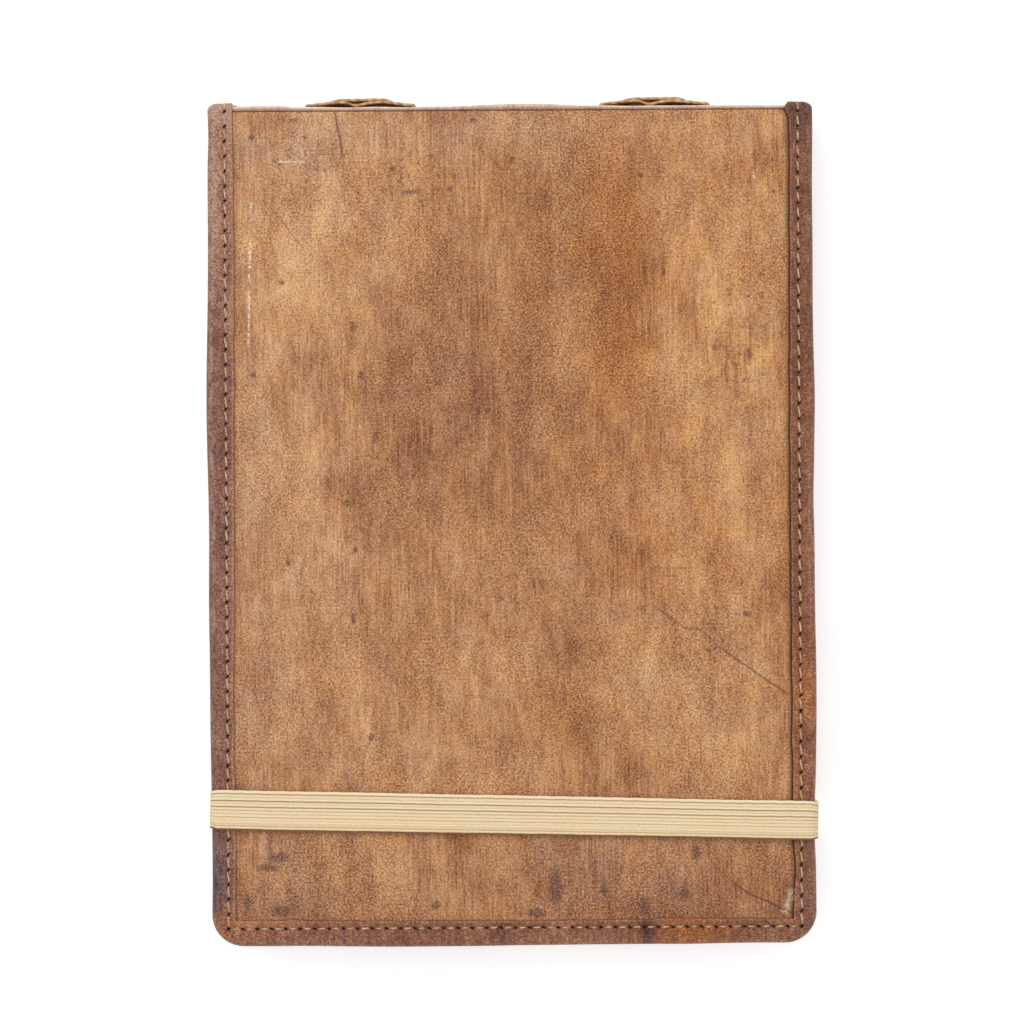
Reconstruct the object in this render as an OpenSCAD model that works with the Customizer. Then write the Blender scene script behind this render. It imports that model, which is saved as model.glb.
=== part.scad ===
// Top-bound leather journal, about A5: limp leather covers with stitched edge
// binding, a sewn block of pages, and a ribbed elastic band round the closed book.
// The journal lies on its back. +Z points out of the front cover, +Y towards the
// spine, and the origin is under the middle of the whole, on the surface it lies on.

/* [Cover] */
// Width of the closed cover, over the edge binding
cover_w = 151; // [120:1:180]
// Length of the closed cover, from its loose edge to the back of the spine
cover_h = 210; // [160:1:240]
// Radius of the two rounded corners of each cover
corner_r = 8; // [7:0.5:14]
// Thickness of the outer leather
leather_t = 1.4; // [1.3:0.1:2]
// Thickness of the inner lining
lining_t = 0.7; // [0.4:0.1:1.5]
// Radius of the fold between a cover and the spine
fold_r = 1.1; // [0.8:0.1:1.3]
// Gap at the crease, where a cover turns on the spine
crease_gap = 0.2; // [0.15:0.05:0.4]

/* [Stiffening board] */
// Thickness of the board between leather and lining
board_t = 0.6; // [0.3:0.1:0.8]
// Strip of unraised leather between the binding and the board's ridge
board_margin = 3; // [2:0.5:8]
// Width of the leather ridge round the board
ridge_w = 1; // [0.8:0.1:2]
// Corner radius of the raised field
field_r = 2; // [1.5:0.5:6]

/* [Edge binding] */
// Thickness of the binding leather
binding_t = 0.8; // [0.5:0.1:1.2]
// Width of the binding on each face of the cover
binding_w = 6; // [5:0.5:6.5]

/* [Stitching] */
// Distance from one needle hole to the next
stitch_pitch = 3.7; // [2.5:0.1:6]
// Length of a needle hole between two stitches
needle_gap = 0.9; // [0.6:0.1:1.2]
// Width of the thread
stitch_d = 0.55; // [0.4:0.05:0.8]
// Height of the thread above the binding
stitch_h = 0.2; // [0.1:0.05:0.25]
// Distance from the outer edge of the binding to the seam
stitch_inset = 3.9; // [2.5:0.1:4.4]
// Slant of each stitch against its seam, in degrees
stitch_slant = 7; // [0:1:12]

/* [Pages] */
// Thickness of the block of pages
block_t = 14; // [10:0.5:30]
// Number of folded sections that are sewn to the spine
sections = 5; // [3:1:6]
// Gap between the block and each lining
page_gap = 0.2; // [0.1:0.05:0.5]
// Gap between the edges of the block and the binding inside the covers
page_clearance = 0.5; // [0.3:0.1:4]

/* [Sewing cord] */
// Diameter of the waxed cord
cord_d = 1.1; // [0.8:0.1:1.2]
// Distance from the middle of the spine to the middle of the left lashing
left_lashing = 37.3; // [22:0.1:45]
// Distance from the middle of the spine to the middle of the right lashing
right_lashing = 36.2; // [22:0.1:45]
// Distance between the two sewing holes of a lashing
lashing_w = 27; // [20:1:34]
// Height to which the lashing bows off the spine
lashing_bow = 0.65; // [0:0.05:1.2]
// Distance between cords where the lashing is drawn together
gathered_pitch = 1.25; // [1.25:0.05:1.6]
// Clearance between the cord and what it passes through or lies on
cord_gap = 0.15; // [0.1:0.05:0.2]

/* [Elastic band] */
// Width of the elastic
band_w = 10; // [6:0.5:20]
// Thickness of the elastic
band_t = 1; // [0.6:0.1:1.5]
// Distance from the loose edge of the cover to the middle of the band
band_from_edge = 32.1; // [20:0.1:90]
// Tilt of the band across the cover, in degrees
band_tilt = 1.25; // [0:0.05:1.5]
// Gap between the band and the cover
band_gap = 0.35; // [0.3:0.05:0.5]
// Radius of the band where it turns round the edge of the cover
band_turn_r = 1.9; // [1:0.1:2.4]
// Depth of the grooves between the ribs of the elastic
groove_depth = 0.15; // [0.1:0.05:0.25]
// Number of zigzag stitches across the sewn lap
lap_stitches = 9; // [5:1:9]

/* [Hidden] */
$fn = 48;

leather_brown = [0.66, 0.45, 0.28];
binding_brown = [0.46, 0.30, 0.23];
lining_brown = [0.58, 0.42, 0.30];
board_grey = [0.60, 0.58, 0.54];
thread_tan = [0.86, 0.68, 0.44];
paper_cream = [0.93, 0.89, 0.80];
cord_ochre = [0.76, 0.55, 0.32];
elastic_straw = [0.90, 0.81, 0.60];

// Where the grooves of the elastic lie, as shares of its width from the spine side
groove_places = [0.065, 0.25, 0.4, 0.485, 0.58, 0.65, 0.8, 0.88];
groove_w = 0.3;

// Overshoot of a cut past the face that it opens
cut = 1;
// Clearance round the board in its pocket
board_fit = 0.1;
// Clearance between the edge of the leather and the fold of the binding
edge_fit = 0.05;

// Heights, from the underside of the band up. The book is the same about its middle.
cover_stack = leather_t + lining_t;
proud = max(binding_t, board_t);
back_edge_z = band_t + band_gap + proud;
back_in_z = back_edge_z + cover_stack;
pages_lo_z = back_in_z + page_gap;
pages_hi_z = pages_lo_z + block_t;
front_in_z = pages_hi_z + page_gap;
leather_lo_z = front_in_z + lining_t;
front_edge_z = front_in_z + cover_stack;
total_t = front_edge_z + back_edge_z;
front_mid_z = front_in_z + cover_stack / 2;
front_face_z = front_edge_z + binding_t;

// Stretch along the book. The crest of the lashings is the furthest point of the spine.
cord_r = cord_d / 2;
cord_low = cord_r + cord_gap;
// A cord that crosses another is pressed into it by this much
cord_press = 0.05;
cord_lift = cord_d - cord_press;
crest = cord_low + lashing_bow + cord_lift + cord_r;
whole_h = cover_h - binding_t + crest;
bottom_y = -whole_h / 2;
spine_y = whole_h / 2 - crest;
crease_y = spine_y - fold_r;
cover_end_y = crease_y - crease_gap;
spine_in_y = spine_y - cover_stack;
pages_y0 = bottom_y + binding_w + page_clearance;
pages_y1 = spine_in_y - page_gap;
half_w = cover_w / 2;
core_half_w = half_w - binding_t - edge_fit;
page_half_w = half_w - binding_w - page_clearance;
field_half_w = half_w - binding_w - board_margin;

// Heights between which the ends of the spine pass inside the binding of the covers
spine_end_lo_z = pages_lo_z + binding_t;
spine_end_h = total_t - 2 * spine_end_lo_z;

stitch_l = stitch_pitch - needle_gap;
section_t = block_t / sections;
fold_cyl_r = section_t / 2 - 0.05;
sewing_y = pages_y1 - fold_cyl_r;
hole_r = cord_r + cord_gap;
binding_edge_r = cover_stack / 2 + binding_t;
band_y = bottom_y + band_from_edge;

// Turns what is made for the front cover over to the back cover
module to_back() {
    translate([0, 0, total_t]) mirror([0, 0, 1]) children();
}

// Outline of a cover from its loose edge to the crease, drawn in by inset
module cover_outline(inset) {
    r = corner_r - inset;
    y0 = bottom_y + inset;
    translate([-half_w + inset, bottom_y + corner_r])
        square([cover_w - 2 * inset, cover_end_y - bottom_y - corner_r]);
    translate([-half_w + corner_r, y0])
        square([cover_w - 2 * corner_r, cover_end_y - y0]);
    for (side = [-1, 1])
        translate([side * (half_w - corner_r), bottom_y + corner_r]) circle(r = r);
}

// Rectangle with round corners, from its lowest to its highest corner
module round_rect(x0, y0, x1, y1, r) {
    translate([x0 + r, y0]) square([x1 - x0 - 2 * r, y1 - y0]);
    translate([x0, y0 + r]) square([x1 - x0, y1 - y0 - 2 * r]);
    for (x = [x0 + r, x1 - r], y = [y0 + r, y1 - r]) translate([x, y]) circle(r = r);
}

// Area that the board raises, drawn in by inset
module field_outline(inset) {
    round_rect(
        -field_half_w + inset, bottom_y + binding_w + board_margin + inset,
        field_half_w - inset, cover_end_y - board_margin - inset,
        field_r - inset / 2
    );
}

module cover_leather() {
    color(leather_brown) difference() {
        union() {
            translate([0, 0, leather_lo_z]) linear_extrude(leather_t)
                cover_outline(binding_t + edge_fit);
            translate([0, 0, front_edge_z - leather_t / 2]) linear_extrude(leather_t / 2 + board_t)
                field_outline(0);
        }
        translate([0, 0, leather_lo_z - cut]) linear_extrude(board_t + cut)
            field_outline(ridge_w);
    }
}

module cover_board() {
    color(board_grey) translate([0, 0, leather_lo_z]) linear_extrude(board_t)
        field_outline(ridge_w + board_fit);
}

module cover_lining() {
    color(lining_brown) translate([0, 0, front_in_z]) linear_extrude(lining_t)
        cover_outline(binding_t + edge_fit);
}

// Cross-section of the binding: folded round the edge of leather and lining.
// X runs inwards from the outer edge, Y through the thickness.
module binding_profile() {
    difference() {
        union() {
            translate([binding_edge_r, 0]) circle(r = binding_edge_r);
            translate([binding_edge_r, -binding_edge_r])
                square([binding_w - binding_edge_r, 2 * binding_edge_r]);
        }
        translate([binding_t, -cover_stack / 2]) square([binding_w, cover_stack]);
    }
}

module binding_side() {
    translate([-half_w, cover_end_y, front_mid_z]) rotate([90, 0, 0])
        linear_extrude(cover_end_y - bottom_y - corner_r) binding_profile();
}

module binding_corner() {
    difference() {
        translate([-half_w + corner_r, bottom_y + corner_r, front_mid_z]) rotate([0, 0, 180])
            rotate_extrude(angle = 90) translate([corner_r, 0]) mirror([1, 0]) binding_profile();
        // The inner corner of the binding is mitred square
        translate([-half_w + binding_w, bottom_y + binding_w, front_in_z - binding_t - cut])
            cube([corner_r, corner_r, cover_stack + 2 * binding_t + 2 * cut]);
    }
}

module cover_binding() {
    color(binding_brown) union() {
        for (side = [0, 1]) mirror([side, 0, 0]) {
            binding_side();
            binding_corner();
        }
        translate([-half_w + corner_r, bottom_y, front_mid_z]) rotate([90, 0, 90])
            linear_extrude(cover_w - 2 * corner_r) binding_profile();
    }
}

// One stitch, lying along Y on the surface z = 0
module stitch() {
    rotate([0, 0, stitch_slant]) translate([-stitch_d / 2, -stitch_l / 2, 0])
        cube([stitch_d, stitch_l, stitch_h]);
}

// A row of stitches along +Y from y = 0, evenly spread over the length
module stitch_row(length) {
    count = round(length / stitch_pitch);
    pitch = length / count;
    for (i = [0 : count - 1]) translate([0, (i + 0.5) * pitch, 0]) stitch();
}

// The seam of one cover, on the outside of its binding
module cover_stitching() {
    seam_x = half_w - stitch_inset;
    seam_y = bottom_y + stitch_inset;
    color(thread_tan) translate([0, seam_y, front_face_z]) {
        for (side = [-1, 1]) translate([side * seam_x, 0, 0]) stitch_row(cover_end_y - seam_y);
        translate([seam_x, 0, 0]) rotate([0, 0, 90]) stitch_row(2 * seam_x);
    }
}

// A quarter disc in the corner between the spine and the front, in the plane of Y and Z
module fold_quarter(r) {
    intersection() {
        translate([crease_y, front_edge_z - fold_r]) circle(r = r);
        translate([crease_y, front_edge_z - fold_r]) square([r, r]);
    }
}

// Leather of the spine in the plane of Y and Z, grown outwards by extra
module spine_skin(extra) {
    translate([crease_y, back_edge_z + fold_r])
        square([fold_r + extra, front_edge_z - back_edge_z - 2 * fold_r]);
    fold_quarter(fold_r + extra);
    translate([0, total_t]) mirror([0, 1]) fold_quarter(fold_r + extra);
}

// Runs a shape of the plane of Y and Z along X, from x0 to x1
module along_x(x0, x1) {
    translate([x0, 0, 0]) rotate([90, 0, 90]) linear_extrude(x1 - x0) children();
}

// Height of the fold of section i, which its sewing holes pass through
function section_z(i) = pages_lo_z + (i + 0.5) * section_t;

module at_stations(middle_x) {
    for (side = [-1, 1], i = [0 : sections - 1])
        translate([middle_x + side * lashing_w / 2, 0, section_z(i)]) children();
}

// All the sewing holes, from the folds of the sections out through the spine
module sewing_holes() {
    for (middle_x = [-left_lashing, right_lashing]) at_stations(middle_x)
        translate([0, sewing_y, 0]) rotate([-90, 0, 0])
            cylinder(h = spine_y - sewing_y + cut, r = hole_r);
}

// A layer of the spine from y0 to y1 that is as tall as the block of pages, and lower
// at its ends, where the binding of the covers passes over it
module spine_layer(y0, y1) {
    translate([-page_half_w, y0, pages_lo_z]) cube([2 * page_half_w, y1 - y0, block_t]);
    translate([-core_half_w, y0, spine_end_lo_z]) cube([2 * core_half_w, y1 - y0, spine_end_h]);
}

module spine_leather() {
    color(leather_brown) difference() {
        union() {
            along_x(-core_half_w, core_half_w) spine_skin(0);
            spine_layer(spine_y - leather_t, spine_y - fold_r / 2);
        }
        sewing_holes();
    }
}

module spine_lining() {
    color(lining_brown) difference() {
        spine_layer(spine_in_y, spine_in_y + lining_t);
        sewing_holes();
    }
}

// The binding on the left edge of the spine, folded round leather and lining
module spine_binding() {
    color(binding_brown) difference() {
        union() {
            along_x(-half_w, -half_w + binding_w) spine_skin(binding_t);
            translate([-half_w, spine_in_y - binding_t, spine_end_lo_z])
                cube([binding_w, cover_stack + 2 * binding_t, spine_end_h]);
        }
        along_x(-half_w + binding_t, -half_w + binding_w + cut) {
            spine_skin(0);
            translate([spine_in_y, pages_lo_z]) square([cover_stack, block_t]);
        }
    }
}

// The seam of the spine's left binding, on its outside
module spine_stitching() {
    row_z = total_t - back_edge_z - fold_r;
    color(thread_tan) translate([-half_w + stitch_inset, spine_y + binding_t, row_z])
        rotate([-90, 0, 0]) stitch_row(2 * row_z - total_t);
}

// The sections are one block of paper, with a rounded fold for each along the spine
module pages() {
    color(paper_cream) difference() {
        union() {
            translate([-page_half_w, pages_y0, pages_lo_z])
                cube([2 * page_half_w, sewing_y - pages_y0, block_t]);
            for (i = [0 : sections - 1]) translate([-page_half_w, sewing_y, section_z(i)])
                rotate([0, 90, 0]) cylinder(h = 2 * page_half_w, r = fold_cyl_r);
        }
        sewing_holes();
        for (middle_x = [-left_lashing, right_lashing], i = [0 : sections - 1])
            translate([middle_x - lashing_w / 2 - hole_r, sewing_y, section_z(i)])
                rotate([0, 90, 0]) cylinder(h = lashing_w + 2 * hole_r, r = hole_r);
    }
}

// Unit vector
function unit(v) = v / norm(v);

// Ring of n points round point p of a route that heads along t and lies mostly level
function ring(p, t, r, n) =
    let (a = unit(cross(t, [0, 0, 1])), b = cross(unit(t), a))
    [for (k = [0 : n - 1]) p + r * (cos(360 * k / n) * a + sin(360 * k / n) * b)];

// A tube along a closed route
module closed_tube(route, r) {
    n = 8;
    rings = len(route);
    points = [for (i = [0 : rings - 1])
        each ring(route[i], route[(i + 1) % rings] - route[(i + rings - 1) % rings], r, n)];
    faces = [for (i = [0 : rings - 1], k = [0 : n - 1])
        let (a = i * n + k, b = i * n + (k + 1) % n, on = ((i + 1) % rings - i) * n)
        [a, b, b + on, a + on]];
    polyhedron(points, faces, convexity = 6);
}

// Smooth step from 0 to 1 while s goes from -width to width
function swing(s, width) = let (t = min(1, max(0, 0.5 + s / width / 2))) t * t * (3 - 2 * t);

// Where cord i of a lashing lies at s, from -1 at its left hole to 1 at its right one.
// The cords are drawn together in the middle, where every second one lies on top of
// its neighbours, first one half of them and then the other.
function lashing_point(middle_x, i, s) =
    let (
        drawn = pow(cos(90 * s), 0.8),
        rank = i - (sections - 1) / 2,
        up = i % 2 == 0 ? swing(s, 0.4) : 1 - swing(s, 0.4)
    )
    [
        middle_x + s * lashing_w / 2,
        spine_y + cord_low + min(1, 1.6 * drawn) * (lashing_bow + cord_lift * up),
        total_t / 2 + rank * (section_t * (1 - drawn) + gathered_pitch * drawn)
    ];

// Quarter turn of the cord at a corner, from heading angle a to a + turn
function cord_corner(centre, a, turn) =
    [for (k = [0 : 2]) centre + cord_r * [sin(a + k * turn / 2), -cos(a + k * turn / 2), 0]];

// The cord of one section as a closed loop: out of the left hole, along the spine,
// in through the right hole and back along the fold
function cord_route(middle_x, i) =
    let (
        steps = 16,
        z = section_z(i),
        left = middle_x - lashing_w / 2,
        right = middle_x + lashing_w / 2,
        inside = sewing_y + cord_r,
        outside = spine_y + cord_low - cord_r
    )
    concat(
        [for (p = cord_corner([left + cord_r, inside, z], 0, -90)) p],
        [for (p = cord_corner([left + cord_r, outside, z], -90, -90)) p],
        [for (k = [1 : steps - 1]) lashing_point(middle_x, i, -1 + 2 * k / steps)],
        [for (p = cord_corner([right - cord_r, outside, z], 180, -90)) p],
        [for (p = cord_corner([right - cord_r, inside, z], 90, -90)) p]
    );

module sewing_cord(middle_x) {
    color(cord_ochre) for (i = [0 : sections - 1]) closed_tube(cord_route(middle_x, i), cord_r);
}

// Clearance of the sewn lap from the covers above and below it
lap_gap = 0.4;
lap_lo_z = back_in_z + binding_t + lap_gap;
lap_h = total_t - 2 * lap_lo_z;
lap_margin = 1;
lap_thread_t = 0.3;
band_in_w = half_w + band_gap;
// Share of the band's width that the zigzag crosses
zigzag_share = 0.7;

module at_band() {
    translate([0, band_y, 0]) rotate([0, 0, -band_tilt]) children();
}

// Zigzag thread that joins the lap, sunk into the outside of the band on its left side
module lap_zigzag() {
    step = (lap_h - 2 * lap_margin) / lap_stitches;
    reach = band_w * zigzag_share;
    lean = atan(step / reach);
    for (i = [0 : lap_stitches - 1])
        translate([-band_in_w - band_t, 0, lap_lo_z + lap_margin + (i + 0.5) * step])
            rotate([i % 2 == 0 ? lean : -lean, 0, 0])
                translate([0, -reach / 2, -stitch_d / 2]) cube([lap_thread_t, reach, stitch_d]);
}

// Loop of elastic in the plane of X and Z, grown outwards by extra
module band_outline(extra) {
    round_rect(
        -band_in_w - extra, band_t - extra, band_in_w + extra, total_t - band_t + extra,
        band_turn_r + extra
    );
}

// Grooves round the outside of the elastic, between its ribs
module band_grooves() {
    for (place = groove_places) translate([0, band_w * (0.5 - place) + groove_w / 2, 0])
        rotate([90, 0, 0]) linear_extrude(groove_w) difference() {
            band_outline(band_t + cut);
            band_outline(band_t - groove_depth);
        }
}

module elastic_band() {
    color(elastic_straw) at_band() difference() {
        union() {
            translate([0, band_w / 2, 0]) rotate([90, 0, 0]) linear_extrude(band_w) difference() {
                band_outline(band_t);
                band_outline(0);
            }
            translate([-band_in_w - band_t / 2, -band_w / 2, lap_lo_z])
                cube([1.5 * band_t, band_w, lap_h]);
        }
        band_grooves();
        lap_zigzag();
    }
}

module band_seam() {
    color(thread_tan) at_band() lap_zigzag();
}

cover_leather();  // front_cover_leather
cover_board();  // front_board
cover_lining();  // front_lining
cover_binding();  // front_binding
cover_stitching();  // front_stitching
spine_leather();
spine_lining();
spine_binding();  // left_spine_binding
mirror([1, 0, 0]) spine_binding();  // right_spine_binding
spine_stitching();  // left_spine_stitching
mirror([1, 0, 0]) spine_stitching();  // right_spine_stitching
to_back() cover_leather();  // back_cover_leather
to_back() cover_board();  // back_board
to_back() cover_lining();  // back_lining
to_back() cover_binding();  // back_binding
to_back() cover_stitching();  // back_stitching
pages();
sewing_cord(-left_lashing);  // left_sewing_cord
sewing_cord(right_lashing);  // right_sewing_cord
elastic_band();
band_seam();
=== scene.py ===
"""Looks of the top-bound leather journal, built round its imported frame.

Every length in this file is in millimetres unless it says otherwise. The leather, its
lining and its edge binding are continuous sheets on the real journal, so each is built
here as two pieces, one for each cover, that meet half way down the spine and bend at the
fold. Stitches and sewing cords are grown along their routes by geometry nodes.
"""

import logging
import math
from dataclasses import dataclass, field, replace
from enum import Enum
from typing import Any

import bpy
import numpy as np
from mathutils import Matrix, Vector


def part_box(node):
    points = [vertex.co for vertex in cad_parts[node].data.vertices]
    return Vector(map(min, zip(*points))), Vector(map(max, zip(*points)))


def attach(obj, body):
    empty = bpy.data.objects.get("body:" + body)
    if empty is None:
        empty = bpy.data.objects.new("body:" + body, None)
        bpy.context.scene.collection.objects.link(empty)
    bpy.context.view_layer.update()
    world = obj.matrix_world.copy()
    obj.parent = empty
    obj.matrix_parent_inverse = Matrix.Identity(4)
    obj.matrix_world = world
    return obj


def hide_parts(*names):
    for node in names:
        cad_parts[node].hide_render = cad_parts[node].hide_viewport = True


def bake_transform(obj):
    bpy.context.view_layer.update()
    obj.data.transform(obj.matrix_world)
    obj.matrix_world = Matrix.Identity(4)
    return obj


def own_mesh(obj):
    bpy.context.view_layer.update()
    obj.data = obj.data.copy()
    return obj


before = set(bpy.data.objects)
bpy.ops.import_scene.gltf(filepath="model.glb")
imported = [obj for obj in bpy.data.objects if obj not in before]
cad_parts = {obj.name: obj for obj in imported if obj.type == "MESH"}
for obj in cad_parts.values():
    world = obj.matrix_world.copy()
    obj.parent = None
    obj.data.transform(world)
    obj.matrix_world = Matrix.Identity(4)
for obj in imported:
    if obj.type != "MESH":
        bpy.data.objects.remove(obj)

log = logging.getLogger("journal")

MM = 0.001
Array = np.ndarray
Socket = bpy.types.NodeSocket
Tree = bpy.types.NodeTree
Material = bpy.types.Material
Piece = bpy.types.Object
Colour = tuple[float, float, float, float]


class Side(Enum):
    """A cover of the journal, with the direction that its outer face looks in."""

    FRONT = 1
    BACK = -1

    @property
    def label(self) -> str:
        """The side's name in the frame, such as front."""
        return self.name.lower()

    @property
    def body(self) -> str:
        """The body that the cover is."""
        return f"{self.label}_cover"


class Edge(Enum):
    """An edge of a cover that the binding is folded round."""

    LEFT = -1
    RIGHT = 1
    LOOSE = 0


def srgb(red: int, green: int, blue: int) -> Colour:
    """Turns a colour as it is seen on a screen into a linear one.

    Args:
        red: Red, from 0 to 255.
        green: Green, from 0 to 255.
        blue: Blue, from 0 to 255.

    Returns:
        The linear colour with an alpha of 1.
    """

    def linear(value: int) -> float:
        """Linear share of light of one channel."""
        share = value / 255
        return share / 12.92 if share <= 0.04045 else ((share + 0.055) / 1.055) ** 2.4

    return (linear(red), linear(green), linear(blue), 1.0)


def smooth(x: Array, low: float, high: float) -> Array:
    """Smooth step from 0 at low to 1 at high, which may lie below low.

    Args:
        x: Values.
        low: Where the step begins.
        high: Where the step ends.

    Returns:
        The step at each value.
    """
    t = np.clip((x - low) / (high - low), 0, 1)
    return t * t * (3 - 2 * t)


def ripple(x: Array, y: Array, span: float, seed: int) -> Array:
    """Soft unevenness from -1 to 1 over a plane.

    Args:
        x: First coordinate.
        y: Second coordinate.
        span: Distance from one crest to the next.
        seed: Number that picks one pattern.

    Returns:
        The height at each point.
    """
    draw = np.random.default_rng(seed)
    total = 0.0 * (x + y)
    waves = 7
    for _ in range(waves):
        angle, phase = draw.uniform(0, 2 * math.pi, 2)
        step = 2 * math.pi / (span * draw.uniform(0.7, 1.6))
        total = total + np.cos(step * (x * math.cos(angle) + y * math.sin(angle)) + phase)
    return total / (0.6 * waves)


# Meshes


def shell(outer: Array, inner: Array) -> tuple[Array, Array]:
    """Closes two grids of points of the same shape into one solid skin.

    Args:
        outer: Grid of points on the outer face, rows by columns by 3.
        inner: Grid of points on the inner face.

    Returns:
        The points, and the quads, which face outwards.
    """
    rows, cols = outer.shape[:2]
    top = np.arange(rows * cols).reshape(rows, cols)
    low = top + rows * cols

    def quads(*corners: Array) -> Array:
        """Quads from four lists of corners."""
        return np.stack([corner.ravel() for corner in corners], 1)

    faces = np.concatenate([
        quads(top[:-1, :-1], top[:-1, 1:], top[1:, 1:], top[1:, :-1]),
        quads(low[:-1, :-1], low[1:, :-1], low[1:, 1:], low[:-1, 1:]),
        quads(top[0, 1:], top[0, :-1], low[0, :-1], low[0, 1:]),
        quads(top[-1, :-1], top[-1, 1:], low[-1, 1:], low[-1, :-1]),
        quads(top[:-1, 0], top[1:, 0], low[1:, 0], low[:-1, 0]),
        quads(top[1:, -1], top[:-1, -1], low[:-1, -1], low[1:, -1]),
    ])
    across = outer[:-1, 1:] - outer[:-1, :-1]
    along = outer[1:, :-1] - outer[:-1, :-1]
    if (np.cross(across, along) * (outer - inner)[:-1, :-1]).sum() < 0:
        faces = faces[:, ::-1]
    return np.concatenate([outer.reshape(-1, 3), inner.reshape(-1, 3)]), faces


def add_object(name: str, data: bpy.types.ID) -> Piece:
    """Makes an object of some data and links it to the scene."""
    made = bpy.data.objects.new(name, data)
    bpy.context.scene.collection.objects.link(made)
    return made


def store(mesh: bpy.types.Mesh, key: str, value: Array) -> None:
    """Stores numbers or vectors at the points of a mesh."""
    kind, part = ("FLOAT", "value") if value.ndim == 1 else ("FLOAT_VECTOR", "vector")
    layer = mesh.attributes.new(key, kind, "POINT")
    layer.data.foreach_set(part, value.astype(np.float32).ravel())


def make_piece(
    name: str, points: Array, faces: Array, values: dict[str, Array], crisp: float = 50.0,
) -> Piece:
    """Makes a piece of the journal from points and quads.

    Args:
        name: Name of the piece.
        points: Points in millimetres.
        faces: Quads.
        values: Numbers or vectors at each point, by the name that a material reads.
        crisp: Angle in degrees from which an edge is seen as sharp.

    Returns:
        The piece, at the origin.
    """
    mesh = bpy.data.meshes.new(name)
    mesh.from_pydata((points * MM).tolist(), [], faces.tolist())
    for key, value in values.items():
        store(mesh, key, value)
    mesh.shade_smooth()
    mesh.set_sharp_from_angle(angle=math.radians(crisp))
    return add_object(name, mesh)


@dataclass(frozen=True)
class Route:
    """A line that a piece grows along, with the direction out of the surface under it."""

    points: Array
    lift: Array
    pitch: float = 1.0
    slant: float = 0.0


def make_routes(name: str, routes: list[Route], closed: bool) -> Piece:
    """Makes an object of bare lines, which a geometry tree grows a piece along.

    Args:
        name: Name of the object.
        routes: The lines.
        closed: Whether each line runs back to its start.

    Returns:
        The object of lines, with the values lift, pitch and slant at its points.
    """
    edges, count = [], 0
    for route in routes:
        size = len(route.points)
        edges += [(count + k, count + k + 1) for k in range(size - 1)]
        if closed:
            edges.append((count + size - 1, count))
        count += size
    mesh = bpy.data.meshes.new(name)
    mesh.from_pydata((np.concatenate([r.points for r in routes]) * MM).tolist(), edges, [])
    store(mesh, "lift", np.concatenate([r.lift for r in routes]))
    for key in ("pitch", "slant"):
        values = np.concatenate([np.full(len(r.points), getattr(r, key)) for r in routes])
        store(mesh, key, values)
    return add_object(name, mesh)


def grow(base: Piece, tree: Tree, values: dict[str, Any], name: str) -> Piece:
    """Grows a piece with a geometry tree and keeps the result as a plain mesh.

    Args:
        base: Object that the tree starts from. It is removed.
        tree: The geometry tree.
        values: Values of the tree's inputs, by name.
        name: Name of the piece.

    Returns:
        The piece, with no modifier on it.
    """
    modifier = base.modifiers.new("grow", "NODES")
    modifier.node_group = tree
    sockets = {
        item.name: item.identifier
        for item in tree.interface.items_tree
        if item.item_type == "SOCKET" and item.in_out == "INPUT"
    }
    for key, value in values.items():
        modifier[sockets[key]] = value
    depsgraph = bpy.context.evaluated_depsgraph_get()
    mesh = bpy.data.meshes.new_from_object(base.evaluated_get(depsgraph), depsgraph=depsgraph)
    base.modifiers.clear()
    bpy.data.objects.remove(base)
    mesh.name = name
    return add_object(name, mesh)


# Node trees


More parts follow.
